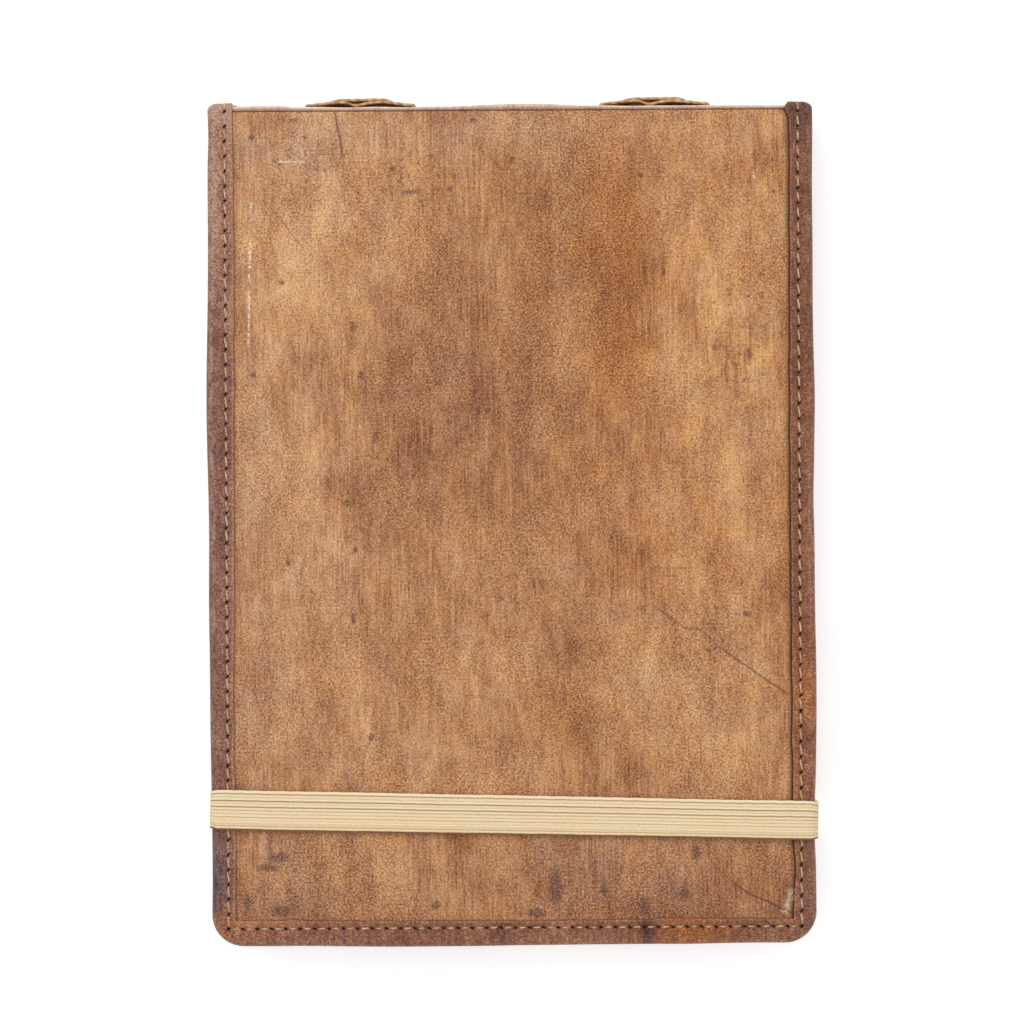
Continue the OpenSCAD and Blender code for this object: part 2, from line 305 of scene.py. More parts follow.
class Graph:
    """Writes the nodes of one tree."""

    def __init__(self, tree: Tree) -> None:
        """Starts writing into a tree."""
        self.tree = tree

    def feed(self, socket: Socket, value: Any) -> None:
        """Links a socket to an input, or sets the input to a value."""
        if isinstance(value, Socket):
            self.tree.links.new(value, socket)
        else:
            socket.default_value = value

    def add(
        self, kind: str, inputs: dict[str | int, Any] | None = None, **settings: Any
    ) -> bpy.types.Node:
        """Adds a node.

        Args:
            kind: Blender's name for the kind of node.
            inputs: Sockets or values for its inputs, by name or number.
            **settings: The node's own settings.

        Returns:
            The node.
        """
        node = self.tree.nodes.new(kind)
        for key, value in settings.items():
            setattr(node, key, value)
        for key, value in (inputs or {}).items():
            self.feed(node.inputs[key], value)
        return node

    def math(self, operation: str, a: Any, b: Any = 0.0, c: Any = 0.0) -> Socket:
        """Result of one sum on numbers."""
        return self.add("ShaderNodeMath", {0: a, 1: b, 2: c}, operation=operation).outputs[0]

    def plus(self, a: Any, b: Any) -> Socket:
        """The sum of two numbers."""
        return self.math("ADD", a, b)

    def minus(self, a: Any, b: Any) -> Socket:
        """A number less another."""
        return self.math("SUBTRACT", a, b)

    def times(self, a: Any, b: Any) -> Socket:
        """The product of two numbers."""
        return self.math("MULTIPLY", a, b)

    def times_plus(self, a: Any, b: Any, c: Any) -> Socket:
        """The product of two numbers, and a third added to it."""
        return self.math("MULTIPLY_ADD", a, b, c)

    def over(self, a: Any, b: Any) -> Socket:
        """A number divided by another."""
        return self.math("DIVIDE", a, b)

    def most(self, a: Any, b: Any) -> Socket:
        """The larger of two numbers."""
        return self.math("MAXIMUM", a, b)

    def least(self, a: Any, b: Any) -> Socket:
        """The smaller of two numbers."""
        return self.math("MINIMUM", a, b)

    def size(self, a: Any) -> Socket:
        """A number without its sign."""
        return self.math("ABSOLUTE", a)

    def distance(self, a: Any, b: Any) -> Socket:
        """Distance of a point from the origin of a plane."""
        return self.math("SQRT", self.plus(self.math("POWER", a, 2.0), self.math("POWER", b, 2.0)))

    def vector(self, operation: str, a: Any, b: Any = (0, 0, 0), c: Any = (0, 0, 0)) -> Socket:
        """Result of one sum on vectors."""
        node = self.add("ShaderNodeVectorMath", {0: a, 1: b}, operation=operation)
        if operation == "MULTIPLY_ADD":
            self.feed(node.inputs[2], c)
        return node.outputs["Value" if operation in ("LENGTH", "DOT_PRODUCT") else "Vector"]

    def parts(self, a: Any) -> Any:
        """X, Y and Z of a vector, by name."""
        return self.add("ShaderNodeSeparateXYZ", {0: a}).outputs

    def scaled(self, a: Any, factor: Any) -> Socket:
        """A vector times a number."""
        node = self.add("ShaderNodeVectorMath", {0: a, "Scale": factor}, operation="SCALE")
        return node.outputs["Vector"]

    def step(self, x: Any, low: Any, high: Any, start: Any = 0.0, end: Any = 1.0) -> Socket:
        """Smooth step from start where x is low to end where it is high."""
        inputs = {0: x, 1: low, 2: high, 3: start, 4: end}
        return self.add("ShaderNodeMapRange", inputs, interpolation_type="SMOOTHSTEP").outputs[0]

    def noise(
        self, position: Any, scale: Any, detail: Any = 2.0, rough: Any = 0.5, flat: bool = False
    ) -> Socket:
        """Noise from 0 to 1, with scale in crests to a unit, flat over X and Y or solid."""
        inputs = {"Vector": position, "Scale": scale, "Detail": detail, "Roughness": rough}
        kind = "2D" if flat else "3D"
        return self.add("ShaderNodeTexNoise", inputs, noise_dimensions=kind).outputs[0]

    def mix(self, share: Any, a: Any, b: Any) -> Socket:
        """Mix of two colours."""
        return self.add("ShaderNodeMix", {0: share, 6: a, 7: b}, data_type="RGBA").outputs[2]

    def ramp(self, x: Any, stops: tuple[tuple[float, Colour], ...]) -> Socket:
        """Colour from a ramp.

        Args:
            x: Place on the ramp, from 0 to 1.
            stops: Places and colours, in order.

        Returns:
            The colour.
        """
        node = self.add("ShaderNodeValToRGB", {0: x})
        elements = node.color_ramp.elements
        while len(elements) < len(stops):
            elements.new(1.0)
        for element, (place, colour) in zip(elements, stops):
            element.position = place
            element.color = colour
        return node.outputs[0]

    def attribute(self, name: str, output: str = "Fac") -> Socket:
        """Number or vector that a piece holds at its points."""
        return self.add("ShaderNodeAttribute", attribute_name=name).outputs[output]

    def held(self, name: str, kind: str = "FLOAT") -> Socket:
        """Number or vector that a mesh holds at its points, in a geometry tree."""
        kept = self.add("GeometryNodeInputNamedAttribute", {"Name": name}, data_type=kind)
        return kept.outputs[0]

    def use(self, group: Tree, inputs: dict[str, Any]) -> bpy.types.Node:
        """Places a node group in the tree."""
        return self.add("ShaderNodeGroup", inputs, node_tree=group)

    def sum_of(self, *terms: tuple[Socket, float]) -> Socket:
        """Sum of sockets, each less a half and times its weight, added to a half."""
        total: Any = 0.5
        for socket, weight in terms:
            total = self.times_plus(self.minus(socket, 0.5), weight, total)
        return total


class Group:
    """A node group with named inputs and outputs."""

    def __init__(
        self, name: str, kind: str, inputs: dict[str, str | float], outputs: dict[str, str],
    ) -> None:
        """Makes an empty group.

        Args:
            name: Name of the group.
            kind: ShaderNodeTree or GeometryNodeTree.
            inputs: Kind of socket of each input, or the number that it starts from.
            outputs: Kind of socket of each output.
        """
        self.tree = bpy.data.node_groups.new(name, kind)
        self.graph = Graph(self.tree)
        kinds = {float: "Float", int: "Int"}
        for key, given in inputs.items():
            socket = kinds.get(type(given), given)
            item = self.tree.interface.new_socket(
                name=key, in_out="INPUT", socket_type=f"NodeSocket{socket}"
            )
            if socket != given:
                item.default_value = given
        for key, socket in outputs.items():
            self.tree.interface.new_socket(
                name=key, in_out="OUTPUT", socket_type=f"NodeSocket{socket}"
            )
        self.inputs = self.tree.nodes.new("NodeGroupInput").outputs
        self.result = self.tree.nodes.new("NodeGroupOutput").inputs

    def give(self, **results: Socket) -> Tree:
        """Links the group's outputs.

        Args:
            **results: A socket for each output, by its name in lower case.

        Returns:
            The finished group.
        """
        for key, socket in results.items():
            self.tree.links.new(socket, self.result[key.capitalize()])
        return self.tree

    def give_dressed(self, geometry: Socket) -> Tree:
        """Makes the geometry real, sets its material and gives it as the group's result."""
        real = self.graph.add("GeometryNodeRealizeInstances", {"Geometry": geometry}).outputs[0]
        done = self.graph.add(
            "GeometryNodeSetMaterial", {"Geometry": real, "Material": self.inputs["Material"]}
        )
        return self.give(geometry=done.outputs[0])


def grain_group(name: str, flat: bool) -> Tree:
    """Leather grain: fine pores, coarser mottling and streaks drawn out one way.

    Args:
        name: Name of the group.
        flat: Whether the grain lies in the plane of X and Y of its position.

    Returns:
        The group.
    """
    group = Group(
        name, "ShaderNodeTree",
        {"Position": "Vector", "Fineness": 1.0, "Pull": "Vector", "Stretch": "Vector"},
        {"Speckle": "Float", "Mottle": "Float", "Streak": "Float"},
    )
    graph, inputs = group.graph, group.inputs
    position, fineness = inputs["Position"], inputs["Fineness"]
    fine = graph.times(fineness, 2.0)
    speckle = graph.noise(position, fine, 1.0, 0.9, flat)
    pulled = graph.vector("MULTIPLY", position, inputs["Pull"])
    mottle = graph.noise(pulled, graph.times(fineness, 0.07), 4.0, 0.9, flat)
    drawn = graph.vector("MULTIPLY", position, inputs["Stretch"])
    streak = graph.noise(drawn, 1.0, 2.0, 0.75, flat)
    return group.give(speckle=speckle, mottle=mottle, streak=streak)


def spot_group() -> Tree:
    """A soft spot with an uneven rim."""
    group = Group(
        "soft_spot", "ShaderNodeTree",
        {"Position": "Vector", "Centre": "Vector", "Reach": "Vector"}, {"Mask": "Float"},
    )
    graph, inputs = group.graph, group.inputs
    away = graph.vector("SUBTRACT", inputs["Position"], inputs["Centre"])
    share = graph.vector("LENGTH", graph.vector("DIVIDE", away, inputs["Reach"]))
    return group.give(mask=graph.step(share, 1.5, 0.55))


def scratch_group() -> Tree:
    """A thin line from one point to another, in the plane of the cover."""
    group = Group(
        "scratch", "ShaderNodeTree",
        {"Position": "Vector", "From": "Vector", "Line": "Vector", "Rate": "Vector", "Width": 0.3},
        {"Mask": "Float"},
    )
    graph, inputs = group.graph, group.inputs
    away = graph.vector("SUBTRACT", inputs["Position"], inputs["From"])
    share = graph.vector("DOT_PRODUCT", away, inputs["Rate"])
    share = graph.least(graph.most(share, 0.0), 1.0)
    nearest = graph.scaled(inputs["Line"], share)
    off = graph.vector("LENGTH", graph.vector("SUBTRACT", away, nearest))
    return group.give(mask=graph.step(off, inputs["Width"], 0.0))


def holes_group() -> Tree:
    """Needle holes along a seam, from the place along it and the distance across it. The masks
    place the painted shade in the holes and in the dips round them.
    """
    group = Group(
        "needle_holes", "ShaderNodeTree",
        {"Along": 0.0, "Across": 0.0, "Pitch": 3.7, "Lean": 0.5, "Length": 0.60, "Width": 0.31},
        {"Mask": "Float", "Dip": "Float"},
    )
    graph, inputs = group.graph, group.inputs
    place = graph.math("FRACT", graph.plus(inputs["Along"], 0.5))
    u = graph.times(graph.minus(place, 0.5), inputs["Pitch"])
    v = inputs["Across"]
    cos, sin = graph.math("COSINE", inputs["Lean"]), graph.math("SINE", inputs["Lean"])
    a = graph.times_plus(v, sin, graph.times(u, cos))
    b = graph.minus(graph.times(v, cos), graph.times(u, sin))
    a = graph.over(a, inputs["Length"])
    b = graph.over(b, inputs["Width"])
    off = graph.distance(a, b)
    return group.give(mask=graph.step(off, 1.15, 0.75), dip=graph.step(off, 2.6, 0.6))


def weave_group() -> Tree:
    """Woven or twisted yarn: bands across the yarn with a fuzz of fibres."""
    group = Group(
        "yarn", "ShaderNodeTree", {"Position": "Vector", "Along": 0.0, "Rate": 2.0},
        {"Tone": "Float", "Height": "Float"},
    )
    graph, inputs = group.graph, group.inputs
    fuzz = graph.noise(inputs["Position"], 3.2, 2.0, 0.7)
    place = graph.times_plus(inputs["Along"], inputs["Rate"], graph.times(fuzz, 0.7))
    wave = graph.math("SINE", graph.times(place, 2 * math.pi))
    wave = graph.times_plus(wave, 0.5, 0.5)
    tone = graph.sum_of((wave, 0.5), (fuzz, 0.9))
    height = graph.times_plus(wave, 0.7, graph.times(fuzz, 0.5))
    return group.give(tone=tone, height=height)


def fibre_group() -> Tree:
    """Matted fibres of paper, board or the flesh side of leather."""
    group = Group(
        "fibres", "ShaderNodeTree",
        {"Position": "Vector", "Fineness": 1.0, "Stretch": "Vector", "Cloud": 0.5},
        {"Tone": "Float", "Height": "Float"},
    )
    graph, inputs = group.graph, group.inputs
    drawn = graph.vector("MULTIPLY", inputs["Position"], inputs["Stretch"])
    fine = graph.noise(drawn, graph.times(inputs["Fineness"], 2.4), 3.0, 0.7)
    cloud = graph.noise(inputs["Position"], graph.times(inputs["Fineness"], 0.09), 4.0, 0.7)
    return group.give(tone=graph.sum_of((fine, 0.7), (cloud, inputs["Cloud"])), height=fine)


def lashing_holes_group() -> Tree:
    """Mask of the holes in the spine that the sewing cords pass through, where their shade is
    painted.
    """
    group = Group(
        "lashing_holes", "ShaderNodeTree",
        {
            "Position": "Vector", "Left": 0.0, "Right": 0.0, "Half": 0.0, "Low": 0.0,
            "Pitch": 1.0, "Radius": 0.7,
        },
        {"Mask": "Float"},
    )
    graph, inputs = group.graph, group.inputs
    parts = graph.parts(inputs["Position"])

    def from_column(middle: Socket) -> Socket:
        """Distance along X from the nearer column of holes of a lashing."""
        off = graph.size(graph.minus(parts["X"], middle))
        return graph.size(graph.minus(off, inputs["Half"]))

    x = graph.least(from_column(inputs["Left"]), from_column(inputs["Right"]))
    turn = graph.over(graph.minus(parts["Z"], inputs["Low"]), inputs["Pitch"])
    from_middle = graph.size(graph.minus(turn, 2.0))
    z = graph.minus(graph.math("FRACT", graph.plus(turn, 0.5)), 0.5)
    z = graph.times(z, inputs["Pitch"])
    off = graph.distance(x, z)
    wide = graph.times(inputs["Radius"], 1.6)
    hole = graph.step(off, wide, inputs["Radius"])
    return group.give(mask=graph.times(hole, graph.step(from_middle, 2.52, 2.46)))


# Marks of use


@dataclass(frozen=True)
class StainOrHighlight:
    """A large soft stain on the cover, lighter or darker, warmer or cooler. On the binding some are
    painted highlights instead.
    """

    x: float
    y: float
    reach_x: float
    reach_y: float
    light: float
    warm: float


@dataclass(frozen=True)
class Spot:
    """A small dark spot on the cover."""

    x: float
    y: float
    reach_x: float
    reach_y: float


@dataclass(frozen=True)
class Scratch:
    """A scratch on the cover, as a line through points."""

    route: tuple[tuple[float, float], ...]
    width: float
    strength: float


FRONT_STAINS = tuple(StainOrHighlight(*row) for row in (
    (-54, 74, 12, 24, 0.24, -0.02), (-48, -12, 10, 14, 0.16, -0.05),
    (-18, 37, 11, 15, -0.13, -0.04), (-30, 6, 11, 16, -0.09, -0.01), (-3, 7, 6, 6, -0.11, 0.00),
    (-28, -30, 7, 7, -0.06, -0.01), (27, 65, 6, 27, -0.20, 0.13), (27, 35, 5, 6, -0.07, 0.05),
    (34, -8, 8, 8, -0.04, 0.06), (53, 54, 12, 44, 0.15, 0.05), (62, 33, 5, 16, 0.04, -0.02),
    (34, -40, 8, 7, 0.14, 0.00), (-8, -35, 9, 8, 0.12, 0.00), (14, -49, 7, 6, -0.12, 0.05),
    (19, -15, 6, 6, -0.04, 0.01), (68, -10, 3, 12, -0.06, 0.07), (0, -90, 65, 11, -0.02, -0.01),
    (-52, -96.5, 13, 3, -0.13, -0.02), (-62, -86, 8, 10, 0.06, -0.04),
    (-45, -84, 9, 9, 0.0, -0.035), (13, -84, 12, 6, 0.05, -0.02), (35, -91, 7, 4, 0.06, -0.03),
    (-62, 99.5, 6, 4, 0.06, 0.0), (28, -96.5, 6, 3, -0.15, -0.03),
    (50, -93, 17, 7, -0.17, -0.02), (-32, -89, 9, 9, 0.07, 0.01), (-12, -61, 16, 9, 0.06, -0.01),
    (52, -60, 18, 9, 0.10, 0.0), (-61, -33, 7, 14, 0.08, -0.02), (15, -89, 8, 7, -0.09, -0.07),
    (38, -88, 8, 6, -0.06, -0.04), (-57, -90, 9, 6, -0.07, -0.03), (1, 97, 30, 5, 0.09, -0.10),
    (9, 71, 10, 20, -0.08, 0.03), (-65, 10, 3, 30, 0.03, -0.08), (-53, 25, 10, 15, 0.09, -0.03),
    (-63, -50, 7, 15, -0.03, -0.06), (12, 17, 10, 12, -0.08, 0.03),
    (-41, -55, 15, 10, 0.08, -0.03), (-33, 88, 8, 12, 0.08, 0.01), (48, -5, 7, 12, 0.06, 0.02),
    (-6, 28, 7, 9, -0.06, -0.03), (-66, 92, 3, 4, -0.08, -0.12), (-51, 94, 9, 5, -0.06, -0.12),
))

FRONT_SPOTS = tuple(Spot(*row) for row in (
    (-29.2, 87.3, 0.75, 0.75), (-24.7, 81.8, 2.2, 0.6), (-64.3, 95.5, 0.6, 0.75),
    (-8.9, 99.4, 0.75, 0.7), (0.5, 89.7, 0.7, 0.7), (-15.0, 82.5, 0.75, 0.6),
    (32.4, 85.5, 0.6, 0.6), (36.6, 76.2, 0.6, 0.6), (65.3, 89.1, 0.4, 0.4),
    (65.5, 81.6, 0.5, 0.5), (-64.3, 36.4, 0.7, 0.75), (-57.2, 59.3, 0.6, 0.6),
    (58.5, -23.8, 0.9, 0.6), (45.5, -83.1, 1.25, 1.9), (42.4, -93.6, 1.1, 1.6),
    (-58.1, -97.3, 2.5, 1.3), (-61.3, -86.5, 2.8, 0.8), (10.5, -91.9, 1.7, 4.5),
    (5.5, -98.1, 2.2, 1.3), (-19.4, -96.0, 1.1, 1.1), (22.5, -92.5, 0.9, 1.4),
    (59.3, 41.0, 0.6, 1.6), (-33.9, 20.9, 0.6, 1.4), (-39.4, 48.3, 0.6, 1.5),
    (-41.1, 4.5, 0.6, 1.1), (-39.6, -24.5, 0.6, 1.2), (-39.1, -7.3, 0.8, 0.8),
    (-37.4, 36.2, 0.7, 0.9), (-35.3, -54.1, 0.6, 0.9), (-8.0, 27.2, 0.5, 1.1),
    (-55.8, -10.5, 0.5, 0.8), (-54.0, 99.9, 1.0, 0.45), (38.2, 61.3, 0.4, 1.0),
    (32.6, -96.5, 1.3, 2.2), (-66.5, -95.0, 0.9, 2.4), (-58.5, -84.0, 2.6, 1.4),
))

WORN_PLACES = tuple(Spot(*row) for row in (
    (-8, 32, 20, 18), (0, -17, 14, 12), (47, -30, 20, 13), (-55, 90, 12, 10), (-23, 87, 12, 10),
    (20, -90, 25, 9), (-53, -90, 12, 10), (57, 47, 10, 20), (-33, 5, 12, 16),
))

FRONT_SCRATCHES = tuple(Scratch(*row) for row in (
    (((-43.6, 101.6), (-42.2, 94.6), (-41.7, 90.6)), 0.42, 0.95),
    (((-41.7, 90.6), (-41.5, 85.7)), 0.3, 0.5),
    (((-59.6, 77.8), (-55.4, 72.5), (-51.0, 67.0)), 0.34, 0.5),
    (((35.1, -21.5), (42.8, -27.0), (47.0, -27.8), (51.5, -32.0)), 0.42, 0.6),
    (((51.5, -32.0), (59.4, -37.6), (68.4, -43.8)), 0.5, 0.8),
    (((34.6, -12.2), (44.8, -12.3)), 0.36, 0.45), (((49.5, -86.0), (54.9, -90.9)), 0.34, 0.6),
    (((54.9, -90.9), (58.9, -93.7), (62.6, -95.2), (69.3, -98.4)), 0.46, 1.0),
    (((54.9, -90.9), (55.6, -94.4)), 0.34, 0.6), (((22.5, -92.5), (24.4, -98.2)), 0.4, 0.6),
))

FRONT_SCUFFS = tuple(Scratch(*row) for row in (
    (((-64.5, 79.2), (-64.6, 76.9)), 0.45, 0.9), (((-64.8, 69.8), (-65.1, 59.5)), 0.60, 1.0),
    (((-65.1, 57.0), (-65.4, 43.5)), 0.45, 0.9), (((-55.3, 94.7), (-52.8, 94.7)), 0.30, 0.6),
    (((-57.8, 89.5), (-51.6, 89.4)), 0.38, 0.9), (((60.6, 86.3), (60.8, 84.8)), 0.40, 0.9),
    (((67.6, -97.8), (69.2, -93.4)), 1.7, 0.5), (((-62.4, -81.0), (-65.0, -88.0)), 0.24, 0.22),
    (((-49.1, 84.3), (-47.7, 84.4)), 0.34, 0.7),
))


# Sizes and shapes that the pieces share


@dataclass(frozen=True)
class JournalSizes:
    """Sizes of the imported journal, read from its frame."""

    half_w: float
    loose_y: float
    spine_y: float
    face_z: float
    mid_z: float
    leather_t: float
    lining_t: float
    page_low: Vector
    page_high: Vector
    band_y: float
    sections: int = 5
    lashing_x: tuple[float, float] = (-37.3, 36.2)
    binding_t: float = 0.8
    edge_fit: float = 0.05
    fold_r: float = 1.1
    corner_r: float = 8.0

    @classmethod
    def read(cls) -> "JournalSizes":
        """Reads the sizes from the boxes of the frame's nodes."""

        def box(node: str) -> tuple[Vector, Vector]:
            """Corners of a node's box in millimetres."""
            low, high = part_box(node)
            return low / MM, high / MM

        leather_low, leather_high = box("front_cover_leather")
        lining_low, lining_high = box("front_lining")
        spine_high = box("spine_leather")[1]
        band_low, band_high = box("elastic_band")
        page_low, page_high = box("pages")
        rim = cls.binding_t + cls.edge_fit
        return cls(
            half_w=leather_high.x + rim, loose_y=leather_low.y - rim, spine_y=spine_high.y,
            face_z=spine_high.z, mid_z=(band_low.z + band_high.z) / 2,
            leather_t=spine_high.z - lining_high.z, lining_t=lining_high.z - lining_low.z,
            page_low=page_low, page_high=page_high, band_y=(band_low.y + band_high.y) / 2,
        )

    @property
    def crease_y(self) -> float:
        """Where the flat of the cover ends and the fold to the spine begins."""
        return self.spine_y - self.fold_r

    @property
    def sheet_turn(self) -> float:
        """Twice the length at which the sheet, laid flat, passes half way down the spine."""
        drop = self.face_z - self.fold_r - self.mid_z
        return 2 * (self.crease_y + self.fold_r * math.pi / 2 + drop)

    @property
    def section_t(self) -> float:
        """Thickness of one section of the pages."""
        return (self.page_high.z - self.page_low.z) / self.sections

    @property
    def sheet_t(self) -> float:
        """Thickness of leather and lining."""
        return self.leather_t + self.lining_t

    def spine_bulge(self, x: Array) -> Array:
        """How far the spine stands out between its lashings."""
        middle = 0.62 * np.exp(-(((x - 3) / 13) ** 2))
        left = 0.45 * np.exp(-(((x + 60) / 8) ** 2)) + 0.2 * np.exp(-(((x + 70) / 4) ** 2))
        lumps = 0.07 * ripple(x, 0 * x, 9, 3) * smooth(np.abs(x), 70, 62)
        return middle + left + lumps

    def end_bulge(self, x: Array) -> Array:
        """How far the binding stands out at the ends of the spine."""
        return 0.34 * smooth(-x, 60, 68) + 0.05 * smooth(x, 60, 68)

    def blend_span(self, side: Side) -> tuple[Vector, Vector]:
        """Points in metres between which a sheet bends from a cover to the spine."""
        start = Vector((0, self.crease_y - 0.75, self.face_z + 0.15))
        end = Vector((0, self.crease_y + 0.65, self.face_z - 1.85))
        if side is Side.BACK:
            start.z, end.z = 2 * self.mid_z - start.z, 2 * self.mid_z - end.z
        return start * MM, end * MM

    def on_side(self, points: Array, side: Side) -> Array:
        """Turns points made for the front cover over to a side."""
        if side is Side.BACK:
            points = points * np.array([1, 1, -1]) + np.array([0, 0, 2 * self.mid_z])
        return points

    def skin_on_side(self, points: Array, faces: Array, side: Side) -> tuple[Array, Array]:
        """Turns points and quads made for the front cover over to a side."""
        return self.on_side(points, side), faces[:, ::-1] if side is Side.BACK else faces


@dataclass(frozen=True)
class FoldedSection:
    """Course of a sheet across its fold, in the plane of Y and Z.

    A place p is 0 at the loose edge, 1 where the fold begins, 2 where it ends and 3 half
    way down the spine. A depth is counted from the outer face of the leather inwards.
    """

    sizes: JournalSizes
    loose_y: float
    tight_r: float = 0.25

    def place(self, y: Array) -> Array:
        """Place of a point of the flat cover."""
        return (y - self.loose_y) / (self.sizes.crease_y - self.loose_y)

    def point(self, p: Array, depth: Array, out: Array) -> tuple[Array, Array]:
        """Where a point of the sheet lies.

        Args:
            p: Place along the sheet.
            depth: Depth below the outer face of the leather.
            out: How far the spine stands out there.

        Returns:
            Y and Z of the point.
        """
        sizes = self.sizes
        radius = np.maximum(sizes.fold_r - depth, self.tight_r)
        centre_y = sizes.spine_y - depth - radius
        centre_z = sizes.face_z - depth - radius
        turn = np.clip(p - 1, 0, 1) * math.pi / 2
        drop = np.clip(p - 2, 0, 1)
        y_flat = self.loose_y + np.clip(p, 0, 1) * (centre_y - self.loose_y)
        y = np.where(p <= 1, y_flat, centre_y + (radius + out) * np.sin(turn))
        z = np.where(p <= 1, sizes.face_z - depth, centre_z + radius * np.cos(turn))
        z = np.where(p > 2, centre_z - drop * (centre_z - sizes.mid_z), z)
        return y, z


@dataclass(frozen=True)
class Bulge:
    """A place where the outline of a cover stands out or draws in a little."""

    at: float
    reach: float
    height: float


def swelling(along: Array, bulges: tuple[Bulge, ...]) -> Array:
    """How far a set of bulges stands out at places along an edge."""
    total = 0.0 * along
    for bulge in bulges:
        total = total + bulge.height * np.exp(-((along - bulge.at) / bulge.reach) ** 2)
    return total


@dataclass(frozen=True)
class EdgeShape:
    """One edge of a cover: width of its binding outside, its seam and its outline."""

    edge: Edge
    width: float
    seam: float
    pitch: float
    bulges: tuple[Bulge, ...]
    seed: int
    cuts: tuple[Bulge, ...] = ()

    def wave(self, along: Array) -> Array:
        """How far the outline stands out from the straight edge."""
        return 0.05 * ripple(along, 0 * along, 18, self.seed) + swelling(along, self.bulges)

    def frayed(self, along: Array) -> Array:
        """How far the cut inner edge strays from its line."""
        return 0.13 * ripple(along, 0 * along, 9, self.seed + 1) + swelling(along, self.cuts)


FRONT_EDGES = {
    Edge.LEFT: EdgeShape(
        Edge.LEFT, 6.25, 4.4, 3.715,
        (Bulge(29, 22, 0.55), Bulge(-84, 20, -0.35), Bulge(-20, 14, 0.2), Bulge(96, 6, -0.25)), 11,
        (Bulge(-99, 11, -0.1), Bulge(-48, 22, -0.35), Bulge(66, 30, 0.25)),
    ),
    Edge.RIGHT: EdgeShape(
        Edge.RIGHT, 5.8, 3.75, 3.84,
        (
            Bulge(30, 9, 0.3), Bulge(-42, 18, 0.3), Bulge(70, 25, -0.15), Bulge(5, 7, -0.2),
            Bulge(-75.6, 8, -0.45),
        ),
        12, (Bulge(102.5, 1.7, 1.2), Bulge(-88, 8, -0.5), Bulge(20, 30, 0.15)),
    ),
    Edge.LOOSE: EdgeShape(
        Edge.LOOSE, 6.2, 4.4, 3.59, (Bulge(-22, 26, 0.35), Bulge(62, 12, -0.2)), 13,
        (Bulge(-58, 14, 0.25), Bulge(5, 16, -0.2), Bulge(44, 10, 0.2)),
    ),
}

BACK_EDGES = {
    Edge.LEFT: EdgeShape(
        Edge.LEFT, 7.1, 4.4, 3.715,
        (Bulge(-10, 20, 0.3), Bulge(60, 15, -0.2), Bulge(-72.4, 9, -0.45)), 21,
    ),
    Edge.RIGHT: EdgeShape(
        Edge.RIGHT, 5.8, 3.75, 3.84,
        (Bulge(40, 20, 0.25), Bulge(-50, 12, -0.2), Bulge(-75.6, 9, -0.4)), 22,
        (Bulge(102.5, 1.7, 1.2),),
    ),
    Edge.LOOSE: EdgeShape(Edge.LOOSE, 6.2, 4.2, 3.59, (Bulge(30, 20, 0.25),), 23),
}


# Geometry trees


